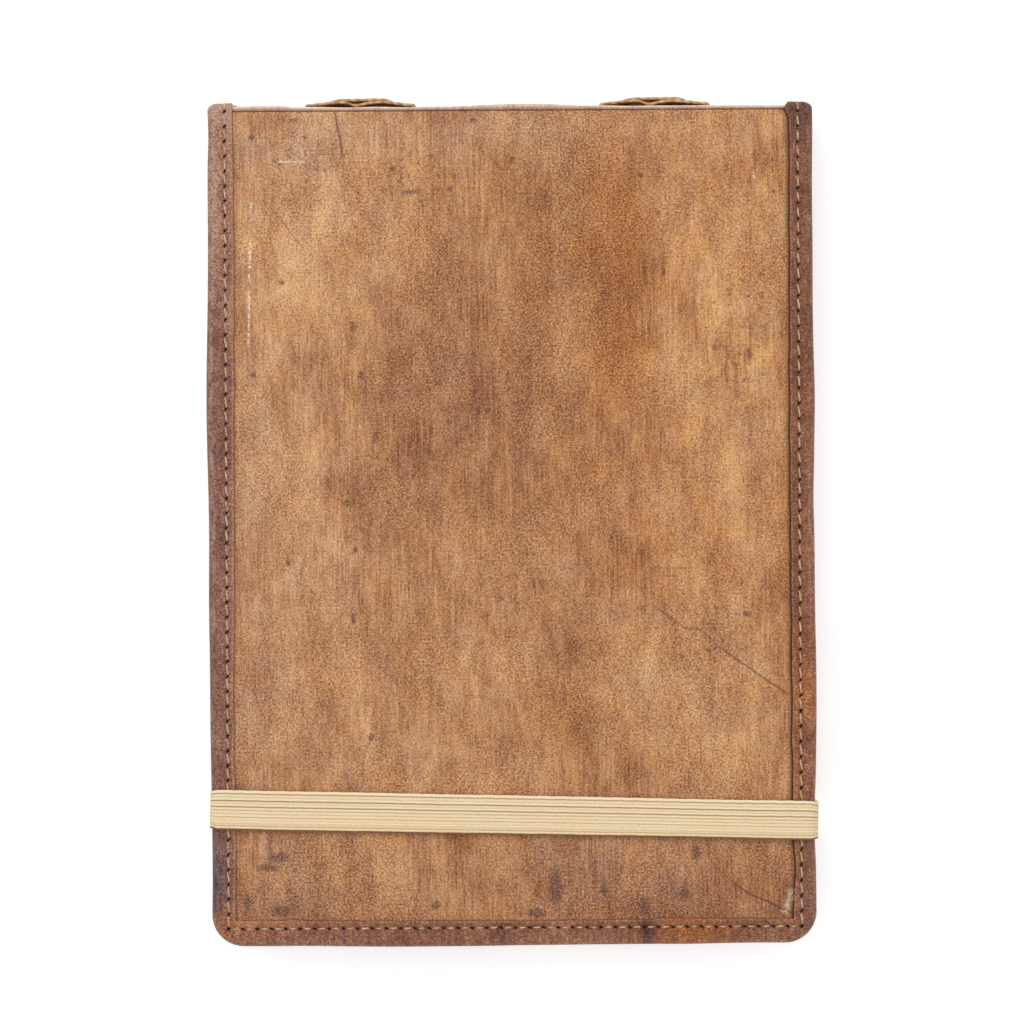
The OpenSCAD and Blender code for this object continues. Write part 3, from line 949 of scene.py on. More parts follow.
def stitch_tree() -> Tree:
    """A tree that lays a slanted stitch of twisted thread at each pitch along seams."""
    group = Group(
        "row_of_stitches", "GeometryNodeTree",
        {
            "Geometry": "Geometry", "Length": 0.0031, "Thread": 0.00055, "Arch": 0.0002,
            "Dip": 0.0003, "Twist": 18.0, "Jitter": 0.05, "Seed": 3, "Material": "Material",
        },
        {"Geometry": "Geometry"},
    )
    graph, inputs = group.graph, group.inputs
    curve = graph.add("GeometryNodeMeshToCurve", {"Mesh": inputs["Geometry"]}).outputs["Curve"]

    def stitches() -> Socket:
        """Length of a seam in stitches, as a whole number."""
        length = graph.add("GeometryNodeSplineLength").outputs["Length"]
        pitch = graph.times(graph.held("pitch"), MM)
        return graph.math("ROUND", graph.over(length, pitch))

    half = graph.over(0.5, stitches())
    trimmed = graph.add(
        "GeometryNodeTrimCurve", {"Curve": curve, "Start": half, "End": graph.minus(1.0, half)},
        mode="FACTOR",
    )
    places = graph.add(
        "GeometryNodeResampleCurve",
        {"Curve": trimmed.outputs[0], "Count": graph.plus(stitches(), 1.0)}, mode="COUNT",
    )

    half_length = graph.times(inputs["Length"], 0.5)
    low = graph.times(inputs["Dip"], -1.0)

    def corner(x: Any, z: Any) -> Socket:
        """A point of the stitch's own line."""
        return graph.add("ShaderNodeCombineXYZ", {"X": x, "Z": z}).outputs[0]

    line = graph.add("GeometryNodeCurveQuadraticBezier", {
        "Resolution": 8, "Start": corner(graph.times(half_length, -1.0), low),
        "Middle": corner(0.0, graph.times_plus(inputs["Arch"], 2.0, inputs["Dip"])),
        "End": corner(half_length, low),
    }).outputs["Curve"]
    factor = graph.add("GeometryNodeSplineParameter").outputs["Factor"]
    tilted = graph.add(
        "GeometryNodeSetCurveTilt",
        {"Curve": line, "Tilt": graph.times(factor, inputs["Twist"])},
    ).outputs["Curve"]
    ring = graph.add(
        "GeometryNodeCurvePrimitiveCircle",
        {"Resolution": 8, "Radius": graph.times(inputs["Thread"], 0.5)}, mode="RADIUS",
    ).outputs["Curve"]
    flat = graph.add("GeometryNodeTransform", {"Geometry": ring, "Scale": (1.0, 0.7, 1.0)})
    stitch = graph.add(
        "GeometryNodeCurveToMesh",
        {"Curve": tilted, "Profile Curve": flat.outputs[0], "Fill Caps": True},
    ).outputs["Mesh"]

    lift = graph.held("lift", "FLOAT_VECTOR")
    tangent = graph.add("GeometryNodeInputTangent").outputs[0]
    turned = graph.add(
        "FunctionNodeAxesToRotation", {0: lift, 1: tangent}, primary_axis="Z",
        secondary_axis="X",
    ).outputs[0]
    placed = graph.add(
        "GeometryNodeInstanceOnPoints",
        {"Points": places.outputs[0], "Instance": stitch, "Rotation": turned},
    ).outputs["Instances"]
    jitter = graph.add(
        "FunctionNodeRandomValue",
        {2: graph.times(inputs["Jitter"], -1.0), 3: inputs["Jitter"], "Seed": inputs["Seed"]},
        data_type="FLOAT",
    ).outputs[1]
    slant = graph.add(
        "ShaderNodeCombineXYZ", {"Z": graph.plus(graph.held("slant"), jitter)}
    ).outputs[0]
    slanted = graph.add(
        "GeometryNodeRotateInstances",
        {"Instances": placed, "Rotation": slant, "Local Space": True},
    ).outputs[0]
    return group.give_dressed(slanted)


def cord_tree() -> Tree:
    """A tree that lays a cord of two twisted plies along lines."""
    group = Group(
        "twisted_cord", "GeometryNodeTree",
        {
            "Geometry": "Geometry", "Diameter": 0.0011, "Turn": 0.004, "Step": 0.0004,
            "Waist": 0.22, "Material": "Material",
        },
        {"Geometry": "Geometry"},
    )
    graph, inputs = group.graph, group.inputs
    curve = graph.add("GeometryNodeMeshToCurve", {"Mesh": inputs["Geometry"]}).outputs["Curve"]
    even = graph.add(
        "GeometryNodeResampleCurve", {"Curve": curve, "Length": inputs["Step"]}, mode="LENGTH"
    ).outputs[0]
    length = graph.add("GeometryNodeSplineLength").outputs["Length"]
    turns = graph.math("ROUND", graph.over(length, inputs["Turn"]))
    factor = graph.add("GeometryNodeSplineParameter").outputs["Factor"]
    tilt = graph.times(graph.times(factor, turns), 2 * math.pi)
    tilted = graph.add("GeometryNodeSetCurveTilt", {"Curve": even, "Tilt": tilt}).outputs[0]
    core = graph.scaled(graph.add("GeometryNodeInputPosition").outputs[0], 1 / MM)
    tilted = graph.add(
        "GeometryNodeStoreNamedAttribute", {"Geometry": tilted, "Name": "core", "Value": core},
        data_type="FLOAT_VECTOR", domain="POINT",
    ).outputs[0]
    ring = graph.add(
        "GeometryNodeCurvePrimitiveCircle",
        {"Resolution": 12, "Radius": graph.times(inputs["Diameter"], 0.5)}, mode="RADIUS",
    ).outputs["Curve"]
    place = graph.add("GeometryNodeInputPosition").outputs[0]
    parts = graph.parts(place)
    angle = graph.math("ARCTAN2", parts["Y"], parts["X"])
    lobes = graph.math("COSINE", graph.times(angle, 2.0))
    share = graph.times_plus(lobes, inputs["Waist"], graph.minus(1.0, inputs["Waist"]))
    plies = graph.add(
        "GeometryNodeSetPosition", {"Geometry": ring, "Position": graph.scaled(place, share)}
    ).outputs[0]
    mesh = graph.add(
        "GeometryNodeCurveToMesh", {"Curve": tilted, "Profile Curve": plies, "Fill Caps": True}
    ).outputs["Mesh"]
    return group.give_dressed(mesh)


@dataclass(frozen=True)
class Groove:
    """A groove of the elastic: its share of the width from the spine side, and strength."""

    place: float
    strength: float


GROOVES = tuple(Groove(*row) for row in (
    (0.085, 0.75), (0.17, 0.25), (0.26, 1.0), (0.335, 0.25), (0.413, 0.95), (0.50, 0.5),
    (0.585, 0.38), (0.67, 0.48), (0.75, 0.2), (0.83, 0.42), (0.885, 0.6),
))


def groove_sum(graph: Graph, across: Socket, half_share: float) -> Socket:
    """Sum of the grooves of the elastic at a place across it.

    Args:
        graph: Graph of a shader or a geometry tree.
        across: Share of the width from the spine side.
        half_share: Half the width of a groove, as a share of the band's width.

    Returns:
        From 0 on a rib to 1 in the deepest groove.
    """
    total: Any = 0.0
    for groove in GROOVES:
        off = graph.size(graph.minus(across, groove.place))
        share = graph.most(graph.minus(1.0, graph.over(off, half_share)), 0.0)
        total = graph.times_plus(graph.math("POWER", share, 1.5), groove.strength, total)
    return total


def elastic_tree() -> Tree:
    """A tree that presses the grooves between the ribs of an elastic into its sheet."""
    group = Group(
        "ribbed_elastic", "GeometryNodeTree",
        {"Geometry": "Geometry", "Groove depth": 0.00022, "Material": "Material"},
        {"Geometry": "Geometry"},
    )
    graph, inputs = group.graph, group.inputs
    parts = graph.parts(graph.held("band_place", "FLOAT_VECTOR"))
    groove = groove_sum(graph, parts["Y"], 0.035)
    depth = graph.times(groove, inputs["Groove depth"])
    normal = graph.add("GeometryNodeInputNormal").outputs[0]
    offset = graph.scaled(normal, graph.times(depth, -1.0))
    pressed = graph.add(
        "GeometryNodeSetPosition",
        {"Geometry": inputs["Geometry"], "Selection": parts["Z"], "Offset": offset},
    ).outputs[0]
    return group.give_dressed(pressed)


@dataclass
class Workshop:
    """Node groups and geometry trees that several pieces use."""

    grain: Tree = field(default_factory=lambda: grain_group("leather_grain", True))
    solid_grain: Tree = field(default_factory=lambda: grain_group("leather_grain_all_round", False))
    spot: Tree = field(default_factory=spot_group)
    scratch: Tree = field(default_factory=scratch_group)
    holes: Tree = field(default_factory=holes_group)
    yarn: Tree = field(default_factory=weave_group)
    fibres: Tree = field(default_factory=fibre_group)
    lashing_holes: Tree = field(default_factory=lashing_holes_group)
    stitches: Tree = field(default_factory=stitch_tree)
    cords: Tree = field(default_factory=cord_tree)
    elastic: Tree = field(default_factory=elastic_tree)


# Finishes


class Paint:
    """A material that is being made, with its graph, its shader and its place in millimetres."""

    def __init__(self, name: str, roughness: float = 0.5) -> None:
        """Makes a material that holds only a shader."""
        self.material = bpy.data.materials.new(name)
        self.material.use_nodes = True
        tree = self.material.node_tree
        tree.nodes.clear()
        self.graph = Graph(tree)
        self.shader = self.graph.add("ShaderNodeBsdfPrincipled", {"Roughness": roughness})
        output = self.graph.add("ShaderNodeOutputMaterial")
        tree.links.new(self.shader.outputs[0], output.inputs["Surface"])
        place = self.graph.add("ShaderNodeTexCoord").outputs["Object"]
        self.place = self.graph.scaled(place, 1 / MM)

    def bump(self, height: Socket, depth: float) -> None:
        """Raises the surface by a height of up to depth, in millimetres."""
        node = self.graph.add(
            "ShaderNodeBump", {"Strength": 1.0, "Distance": depth * MM, "Height": height}
        )
        self.graph.feed(self.shader.inputs["Normal"], node.outputs[0])

    def finish(self, colour: Socket, rough: Socket | None = None) -> Material:
        """Links colour and roughness and gives the material."""
        self.graph.feed(self.shader.inputs["Base Color"], colour)
        if rough is not None:
            self.graph.feed(self.shader.inputs["Roughness"], rough)
        return self.material


LEATHER_TONES = (
    (0.08, srgb(110, 64, 40)), (0.22, srgb(146, 90, 54)), (0.31, srgb(161, 105, 67)),
    (0.40, srgb(174, 119, 78)), (0.50, srgb(188, 132, 89)), (0.60, srgb(203, 147, 101)),
    (0.70, srgb(214, 159, 111)), (0.84, srgb(228, 177, 123)), (1.00, srgb(240, 196, 142)),
)

BINDING_TONES = (
    (0.05, srgb(78, 44, 36)), (0.32, srgb(124, 77, 60)), (0.50, srgb(147, 95, 74)),
    (0.68, srgb(169, 115, 90)), (0.92, srgb(206, 156, 128)),
)


def tinted(graph: Graph, colour: Socket, warm: Socket) -> Socket:
    """Shifts a colour to red brown where warm is above 0 and to grey where it is below."""
    tint = graph.vector("MULTIPLY_ADD", warm, (0.6, -0.15, -2.0), (1.0, 1.0, 1.0))
    return graph.vector("MULTIPLY", colour, tint)


@dataclass(frozen=True)
class LeatherFinish:
    """Waxed, mottled leather of a cover, with its stains, spots and scratches, and with painted
    shade beside the binding, along the crease and in the lashing holes, and a painted highlight
    with the wax bloom on the fold.
    """

    name: str
    spots: tuple[Spot, ...]
    scratches: tuple[Scratch, ...]
    scuffs: tuple[Scratch, ...]
    lashings: tuple[float, float]
    low_hole_z: float
    section_t: float
    half_lashing: float = 13.5
    mark: Colour = srgb(98, 62, 54)
    # rim and gap are colours of painted shade: rim for the darker band beside the binding's cut
    # edge, gap for the dark painted shadow line right under it.
    rim: Colour = srgb(80, 48, 36)
    gap: Colour = srgb(44, 24, 20)
    # These two are colours of the wax bloom with a painted highlight, on the fold and, nearly
    # white, on the face of the spine.
    ridge_bloom_and_highlight: Colour = srgb(184, 160, 148)
    spine: Colour = srgb(255, 242, 224)
    # crease is the colour of the painted shade along the crease.
    crease: Colour = srgb(92, 70, 68)
    scuff: Colour = srgb(250, 236, 212)
    # hole is the colour of the painted shade in the lashing holes.
    hole: Colour = srgb(40, 26, 20)

    def lines(
        self, shop: Workshop, graph: Graph, place: Socket, routes: tuple[Scratch, ...]
    ) -> Socket:
        """Mask of all the segments of a set of scratches."""
        total: Any = 0.0
        for scratch in routes:
            for start, end in zip(scratch.route, scratch.route[1:]):
                line = Vector((end[0] - start[0], end[1] - start[1], 0))
                node = graph.use(shop.scratch, {
                    "Position": place, "From": (*start, 0), "Line": line,
                    "Rate": line / line.length_squared, "Width": scratch.width,
                })
                mask = graph.times(node.outputs["Mask"], scratch.strength)
                total = graph.most(total, mask)
        return total

    def wear(
        self, shop: Workshop, graph: Graph, sheet: Socket, speckle: Socket
    ) -> tuple[Socket, Socket]:
        """Masks of the dark marks and of the white scuffs.

        Args:
            shop: The shared groups.
            graph: The material's graph.
            sheet: Place on the sheet laid flat.
            speckle: Fine pores of the leather.

        Returns:
            Dark marks and scuffs.
        """
        inputs = {"Vector": sheet, "Scale": 0.9, "Detail": 1.0}
        drift = graph.add("ShaderNodeTexNoise", inputs, noise_dimensions="2D").outputs["Color"]
        drift = graph.vector("MULTIPLY_ADD", drift, (1.3, 1.3, 0.0), (-0.65, -0.65, 0.0))
        uneven = graph.vector("ADD", sheet, drift)
        nearly = graph.vector("MULTIPLY_ADD", drift, (0.3, 0.3, 0.0), sheet)
        dark: Any = 0.0
        for spot in self.spots:
            node = graph.use(shop.spot, {
                "Position": uneven, "Centre": (spot.x, spot.y, 0),
                "Reach": (spot.reach_x, spot.reach_y, 1),
            })
            dark = graph.most(dark, node.outputs["Mask"])
        dark = graph.times(dark, graph.step(speckle, 0.64, 0.38, 0.6, 1.0))
        worn_here = graph.attribute("worn")
        cracks = self.lines(shop, graph, nearly, self.scratches)
        scuffs = self.lines(shop, graph, sheet, self.scuffs)
        worn = graph.noise(sheet, 1.3, 2.0, 0.8, True)
        scuffs = graph.times(scuffs, graph.step(worn, 0.42, 0.56, 0.0, 0.95))

        hair = graph.noise(graph.vector("MULTIPLY", uneven, (0.22, 1.3, 1.0)), 1.0, 2.0, 0.6, True)
        hair = graph.step(graph.size(graph.minus(hair, 0.5)), 0.019, 0.0)
        slash = graph.vector("MULTIPLY_ADD", uneven, (0.9, 0.3, 1.0), (40, 9, 0))
        slash = graph.noise(slash, 1.0, 1.0, 0.6, True)
        slash = graph.step(graph.size(graph.minus(slash, 0.5)), 0.012, 0.0)
        patch = graph.step(graph.noise(sheet, 0.09, 2.0, 0.6, True), 0.44, 0.60)
        hair = graph.times(graph.most(hair, graph.times(slash, 0.6)), patch)
        hair = graph.times(hair, graph.times_plus(worn_here, 1.0, 0.28))
        flecks = graph.step(graph.noise(uneven, 0.6, 1.0, 0.6, True), 0.66, 0.76)
        flecks = graph.times(flecks, graph.times_plus(worn_here, 0.7, 0.14))
        shade = graph.most(dark, flecks)
        shade = graph.most(shade, graph.most(cracks, graph.times(hair, 0.85)))
        return shade, scuffs

    def material(self, shop: Workshop) -> Material:
        """Makes the material."""
        paint = Paint(self.name)
        graph, place = paint.graph, paint.place
        sheet = graph.attribute("sheet_place", "Vector")
        grain = graph.use(shop.grain, {
            "Position": sheet, "Fineness": 1.0,
            "Pull": (1.35, 0.6, 1.0), "Stretch": (1.5, 0.07, 1.0),
        }).outputs
        region = graph.noise(sheet, 0.035, 1.0, 0.5, True)
        brushed = graph.step(region, 0.40, 0.66, 0.1, 0.9)
        streak = graph.times(graph.minus(grain["Streak"], 0.53), brushed)
        cloud = graph.times_plus(grain["Mottle"], 1.1, 0.3)
        value = graph.sum_of((grain["Mottle"], 0.88))
        depth = graph.step(region, 0.36, 0.64, 1.34, 0.88)
        pores = graph.times(graph.minus(grain["Speckle"], 0.5), depth)
        value = graph.plus(value, pores)
        value = graph.times_plus(streak, 0.7, value)
        value = graph.times_plus(graph.attribute("tone"), cloud, value)
        colour = graph.ramp(value, LEATHER_TONES)
        drift = graph.noise(sheet, 0.11, 2.0, 0.6, True)
        warm = graph.times_plus(graph.minus(drift, 0.5), 0.25, graph.attribute("warm"))
        colour = tinted(graph, colour, warm)
        shade, scuffs = self.wear(shop, graph, sheet, grain["Speckle"])
        colour = graph.mix(graph.times(shade, 0.85), colour, self.mark)

        # Painted shade beside the binding: a darker band and, right under the cut edge, a dark
        # painted shadow line, wider on the right.
        gap = graph.attribute("gap")
        reach = graph.times_plus(grain["Mottle"], 1.6, 0.1)
        rim = graph.step(gap, reach, 0.0)
        colour = graph.mix(graph.times(rim, 0.6), colour, self.rim)
        under = graph.step(gap, graph.times(reach, 0.42), 0.06)
        under = graph.times(under, graph.step(grain["Speckle"], 0.3, 0.6, 0.45, 0.9))
        colour = graph.mix(under, colour, self.gap)
        # Wax bloom with a painted highlight on the fold, nearly white on the face of the spine.
        bloom_and_highlight = graph.attribute("bloom_and_highlight")
        bloom_and_highlight = graph.times(bloom_and_highlight, graph.step(grain["Mottle"], 0.3, 0.6, 0.6, 1.0))
        above = graph.step(graph.attribute("spine"), 0.0, 0.4)
        pale = graph.mix(above, self.ridge_bloom_and_highlight, self.spine)
        colour = graph.mix(bloom_and_highlight, colour, pale)
        # Painted shade along the crease where the cover folds to the spine.
        broken = graph.step(grain["Streak"], 0.3, 0.6, 0.45, 0.9)
        crease = graph.times(graph.attribute("crease"), broken)
        colour = graph.mix(crease, colour, self.crease)
        colour = graph.mix(scuffs, colour, self.scuff)
        # Painted shade in the holes that the cords pass through.
        holes = graph.use(shop.lashing_holes, {
            "Position": place, "Left": self.lashings[0], "Right": self.lashings[1],
            "Half": self.half_lashing, "Low": self.low_hole_z, "Pitch": self.section_t,
        }).outputs["Mask"]
        holes = graph.times(holes, graph.attribute("spine"))
        colour = graph.mix(graph.times(holes, 0.85), colour, self.hole)

        rough = graph.times_plus(grain["Mottle"], 0.25, 0.44)
        paint.shader.inputs["Specular IOR Level"].default_value = 0.25
        paint.bump(grain["Speckle"], 0.16)
        return paint.finish(colour, rough)


@dataclass(frozen=True)
class BindingFinish:
    """Darker, creased leather of the edge binding, with the needle holes of its seams. Shade is
    painted in its crease lines, needle holes and the dips round them, and a painted highlight runs
    along its rounded outer edge and its lit left cut edge.
    """

    name: str
    edges: dict[Edge, EdgeShape]
    # fold is the colour of the painted shade in the crease lines.
    fold: Colour = srgb(70, 42, 34)
    # shine is the colour of the painted highlight along the rounded outer edge.
    shine: Colour = srgb(214, 186, 170)
    # worn is the colour of the lighter cut edge: wear, and on the left also a painted highlight.
    worn: Colour = srgb(206, 156, 116)
    # dip and hole are colours of the painted shade in the dips round the needle holes and in the
    # holes.
    dip: Colour = srgb(64, 40, 32)
    hole: Colour = srgb(14, 8, 6)

    def holes(self, shop: Workshop, graph: Graph) -> tuple[Socket, Socket]:
        """Masks of the painted shade in the needle holes and in the dips round them."""
        mask: Any = 0.0
        dip: Any = 0.0
        seams = (("side_seam", Edge.LEFT, -0.5), ("end_seam", Edge.LOOSE, -0.35))
        for attribute, edge, lean in seams:
            parts = graph.parts(graph.attribute(attribute, "Vector"))
            node = graph.use(shop.holes, {
                "Along": parts["X"], "Across": parts["Y"], "Pitch": self.edges[edge].pitch,
                "Lean": lean,
            })
            inside = graph.times(node.outputs["Mask"], parts["Z"])
            mask = graph.most(mask, inside)
            dip = graph.most(dip, graph.times(node.outputs["Dip"], parts["Z"]))
        return mask, dip

    def material(self, shop: Workshop) -> Material:
        """Makes the material."""
        paint = Paint(self.name)
        graph, place = paint.graph, paint.place
        grain = graph.use(shop.solid_grain, {
            "Position": place, "Fineness": 1.0,
            "Pull": (1.5, 0.75, 1), "Stretch": (0.95, 0.3, 0.6),
        }).outputs
        value = graph.sum_of(
            (grain["Mottle"], 1.1), (grain["Streak"], 0.7), (grain["Speckle"], 1.2)
        )
        value = graph.plus(graph.attribute("tone"), value)
        cut = graph.attribute("cut")
        value = graph.plus(value, graph.step(cut, 2.6, 1.6, 0.04, 0.09))
        colour = graph.ramp(value, BINDING_TONES)
        inner_strip = graph.step(cut, 3.0, 1.8, 0.0, 0.05)
        warm = graph.plus(graph.attribute("warm"), inner_strip)
        colour = tinted(graph, colour, warm)
        # Fine crease lines, bumped in as grooves, with painted shade in them.
        folds = graph.noise(graph.vector("MULTIPLY", place, (0.7, 1.8, 0.8)), 1.0, 2.0, 0.7)
        fold = graph.step(graph.size(graph.minus(folds, 0.5)), 0.042, 0.0)
        colour = graph.mix(graph.times(fold, 0.42), colour, self.fold)
        parts = graph.parts(place)
        left = graph.step(parts["X"], -60.0, -66.0)
        # Painted highlight along the rounded outer edge, strongest at the upper left.
        roll = graph.times(graph.attribute("roll"), graph.step(grain["Streak"], 0.36, 0.62))
        glint = graph.times_plus(left, graph.step(parts["Y"], -60.0, 20.0, 0.0, 0.34), 0.12)
        colour = graph.mix(graph.times(roll, glint), colour, self.shine)
        # Lighter cut edge: wear, made stronger and wider on the left as a painted highlight of that
        # lit edge.
        worn = graph.step(grain["Speckle"], 0.35, 0.6, 0.08, 0.4)
        worn = graph.times_plus(left, 0.22, worn)
        reach = graph.times_plus(left, 0.3, 0.6)
        worn = graph.times(graph.step(cut, reach, 0.15), worn)
        colour = graph.mix(worn, colour, self.worn)
        # Painted shade in the needle holes and in the dips pressed round them.
        mask, dip = self.holes(shop, graph)
        colour = graph.mix(graph.times(dip, 0.30), colour, self.dip)
        colour = graph.mix(graph.times(mask, 0.97), colour, self.hole)
        rough = graph.times_plus(grain["Mottle"], 0.3, 0.30)
        rough = graph.most(rough, graph.times(mask, 0.9))
        paint.shader.inputs["Specular IOR Level"].default_value = 0.4
        height = graph.times_plus(fold, -0.35, grain["Speckle"])
        paint.bump(height, 0.24)
        return paint.finish(colour, rough)


@dataclass(frozen=True)
class FibreFinish:
    """Matte fibrous surface: napped lining, board or paper."""

    name: str
    dark: Colour
    light: Colour
    fineness: float
    stretch: tuple[float, float, float]
    roughness: float
    depth: float
    sheen: float = 0.0
    cloud: float = 0.5

    def material(self, shop: Workshop) -> Material:
        """Makes the material."""
        paint = Paint(self.name, self.roughness)
        graph = paint.graph
        fibres = graph.use(shop.fibres, {
            "Position": paint.place, "Fineness": self.fineness, "Stretch": self.stretch,
            "Cloud": self.cloud,
        }).outputs
        tone = graph.step(fibres["Tone"], 0.2, 0.8)
        colour = graph.mix(tone, self.dark, self.light)
        paint.shader.inputs["Sheen Weight"].default_value = self.sheen
        paint.bump(fibres["Height"], self.depth)
        rough = graph.times_plus(fibres["Height"], 0.15, self.roughness - 0.08)
        return paint.finish(colour, rough)


@dataclass(frozen=True)
class YarnFinish:
    """Waxed thread or cord, with painted shade on the side of each cord that faces the spine where
    an under colour is given.
    """

    name: str
    dark: Colour
    light: Colour
    rate: float
    roughness: float = 0.55
    # under is the colour of the painted shade on the inner side of each cord.
    under: Colour | None = None
    radius: float = 0.5

    def material(self, shop: Workshop) -> Material:
        """Makes the material."""
        paint = Paint(self.name, self.roughness)
        graph = paint.graph
        slope = graph.vector("DOT_PRODUCT", paint.place, (0.8, 0.7, 0.5))
        yarn = graph.use(
            shop.yarn, {"Position": paint.place, "Along": slope, "Rate": self.rate}
        ).outputs
        soil = graph.noise(paint.place, 0.35, 3.0, 0.6)
        value = graph.sum_of((yarn["Tone"], 0.55), (soil, 1.05))
        colour = graph.mix(graph.step(value, 0.15, 0.8), self.dark, self.light)
        # Painted shade on the side of each cord that faces the spine.
        if self.under is not None:
            away = graph.vector("SUBTRACT", paint.place, graph.attribute("core", "Vector"))
            side = graph.parts(away)["Y"]
            side = graph.times_plus(graph.minus(soil, 0.5), 0.5, side)
            inner = graph.step(side, 0.25 * self.radius, -0.75 * self.radius)
            colour = graph.mix(inner, colour, self.under)
        paint.bump(yarn["Height"], 0.06)
        return paint.finish(colour)


@dataclass(frozen=True)
class ElasticFinish:
    """Ribbed, woven elastic of pale straw, with painted shade in its grooves and along its lower
    edge, and painted highlights on its crests and top edge.
    """

    name: str = "elastic_weave"
    rib: Colour = srgb(255, 233, 186)
    shade: Colour = srgb(238, 205, 150)
    # groove is the colour of the painted shade in the pressed grooves.
    groove: Colour = srgb(160, 104, 50)
    # crest is the colour of the painted highlights on the rib crests and the band's top edge.
    crest: Colour = srgb(255, 246, 222)
    # The dark line along the lower edge is a painted shadow of the band.
    lower_edge_shadow: Colour = srgb(112, 62, 26)

    def material(self, shop: Workshop) -> Material:
        """Makes the material."""
        paint = Paint(self.name, 0.8)
        graph = paint.graph
        parts = graph.parts(graph.attribute("band_place", "Vector"))
        yarn = graph.use(
            shop.yarn, {"Position": paint.place, "Along": parts["X"], "Rate": 2.1}
        ).outputs
        fine = graph.math("SINE", graph.times(parts["Y"], 2 * math.pi * 22))
        fuzz = graph.noise(paint.place, 2.4, 1.0, 0.8)
        value = graph.sum_of(
            (yarn["Tone"], 0.12), (fuzz, 1.3), (graph.times_plus(fine, 0.5, 0.5), 0.2)
        )
        colour = graph.mix(graph.step(value, 0.15, 0.75), self.shade, self.rib)
        wander = graph.minus(graph.noise(paint.place, 0.12, 2.0), 0.5)
        strayed = graph.times_plus(wander, 0.012, parts["Y"])
        # Painted highlight on the crests just above the strong grooves.
        crest = groove_sum(graph, graph.plus(strayed, 0.045), 0.04)
        colour = graph.mix(graph.least(crest, 0.6), colour, self.crest)
        # Painted shade in the grooves between the ribs.
        groove = groove_sum(graph, strayed, 0.034)
        colour = graph.mix(graph.least(groove, 0.92), colour, self.groove)
        # Painted highlight along the band's top edge.
        colour = graph.mix(graph.step(parts["Y"], 0.03, 0.0, 0.0, 0.5), colour, self.crest)
        # Painted shadow along the band's lower edge.
        colour = graph.mix(graph.step(parts["Y"], 0.942, 0.966, 0.0, 0.92), colour, self.lower_edge_shadow)
        height = graph.times_plus(fine, 0.25, fuzz)
        paint.bump(height, 0.10)
        paint.shader.inputs["Sheen Weight"].default_value = 0.1
        return paint.finish(colour)


def sheet_values(points: Array, stains: tuple[StainOrHighlight, ...]) -> dict[str, Array]:
    """Light and warmth of stains, and of painted highlights on the binding, at points of a sheet.

    Args:
        points: Points in millimetres.
        stains: The stains, with the binding's painted highlights.

    Returns:
        The values tone and warm.
    """
    tone, warm = np.zeros(len(points)), np.zeros(len(points))
    for stain in stains:
        off = ((points[:, 0] - stain.x) / stain.reach_x) ** 2
        off = off + ((points[:, 1] - stain.y) / stain.reach_y) ** 2
        soft = np.exp(-off / 2)
        tone += stain.light * soft
        warm += stain.warm * soft
    return {"tone": tone, "warm": warm}


def worn_share(points: Array) -> Array:
    """How much of the small wear lies at points of a cover, from 0 to 1."""
    total = np.zeros(len(points))
    for place in WORN_PLACES:
        off = ((points[:, 0] - place.x) / place.reach_x) ** 2
        total += np.exp(-(off + ((points[:, 1] - place.y) / place.reach_y) ** 2))
    return np.minimum(total, 1.0)


def drawn_stains(seed: int, count: int) -> tuple[StainOrHighlight, ...]:
    """Stains at places that a seed picks, for a cover that isn't seen in the photograph."""
    draw = np.random.default_rng(seed)
    return tuple(
        StainOrHighlight(
            *draw.uniform((-65, -100), (65, 100)), *draw.uniform((5, 8), (18, 30)),
            draw.uniform(-0.2, 0.22), draw.uniform(-0.08, 0.1),
        )
        for _ in range(count)
    )


# Sub-assemblies


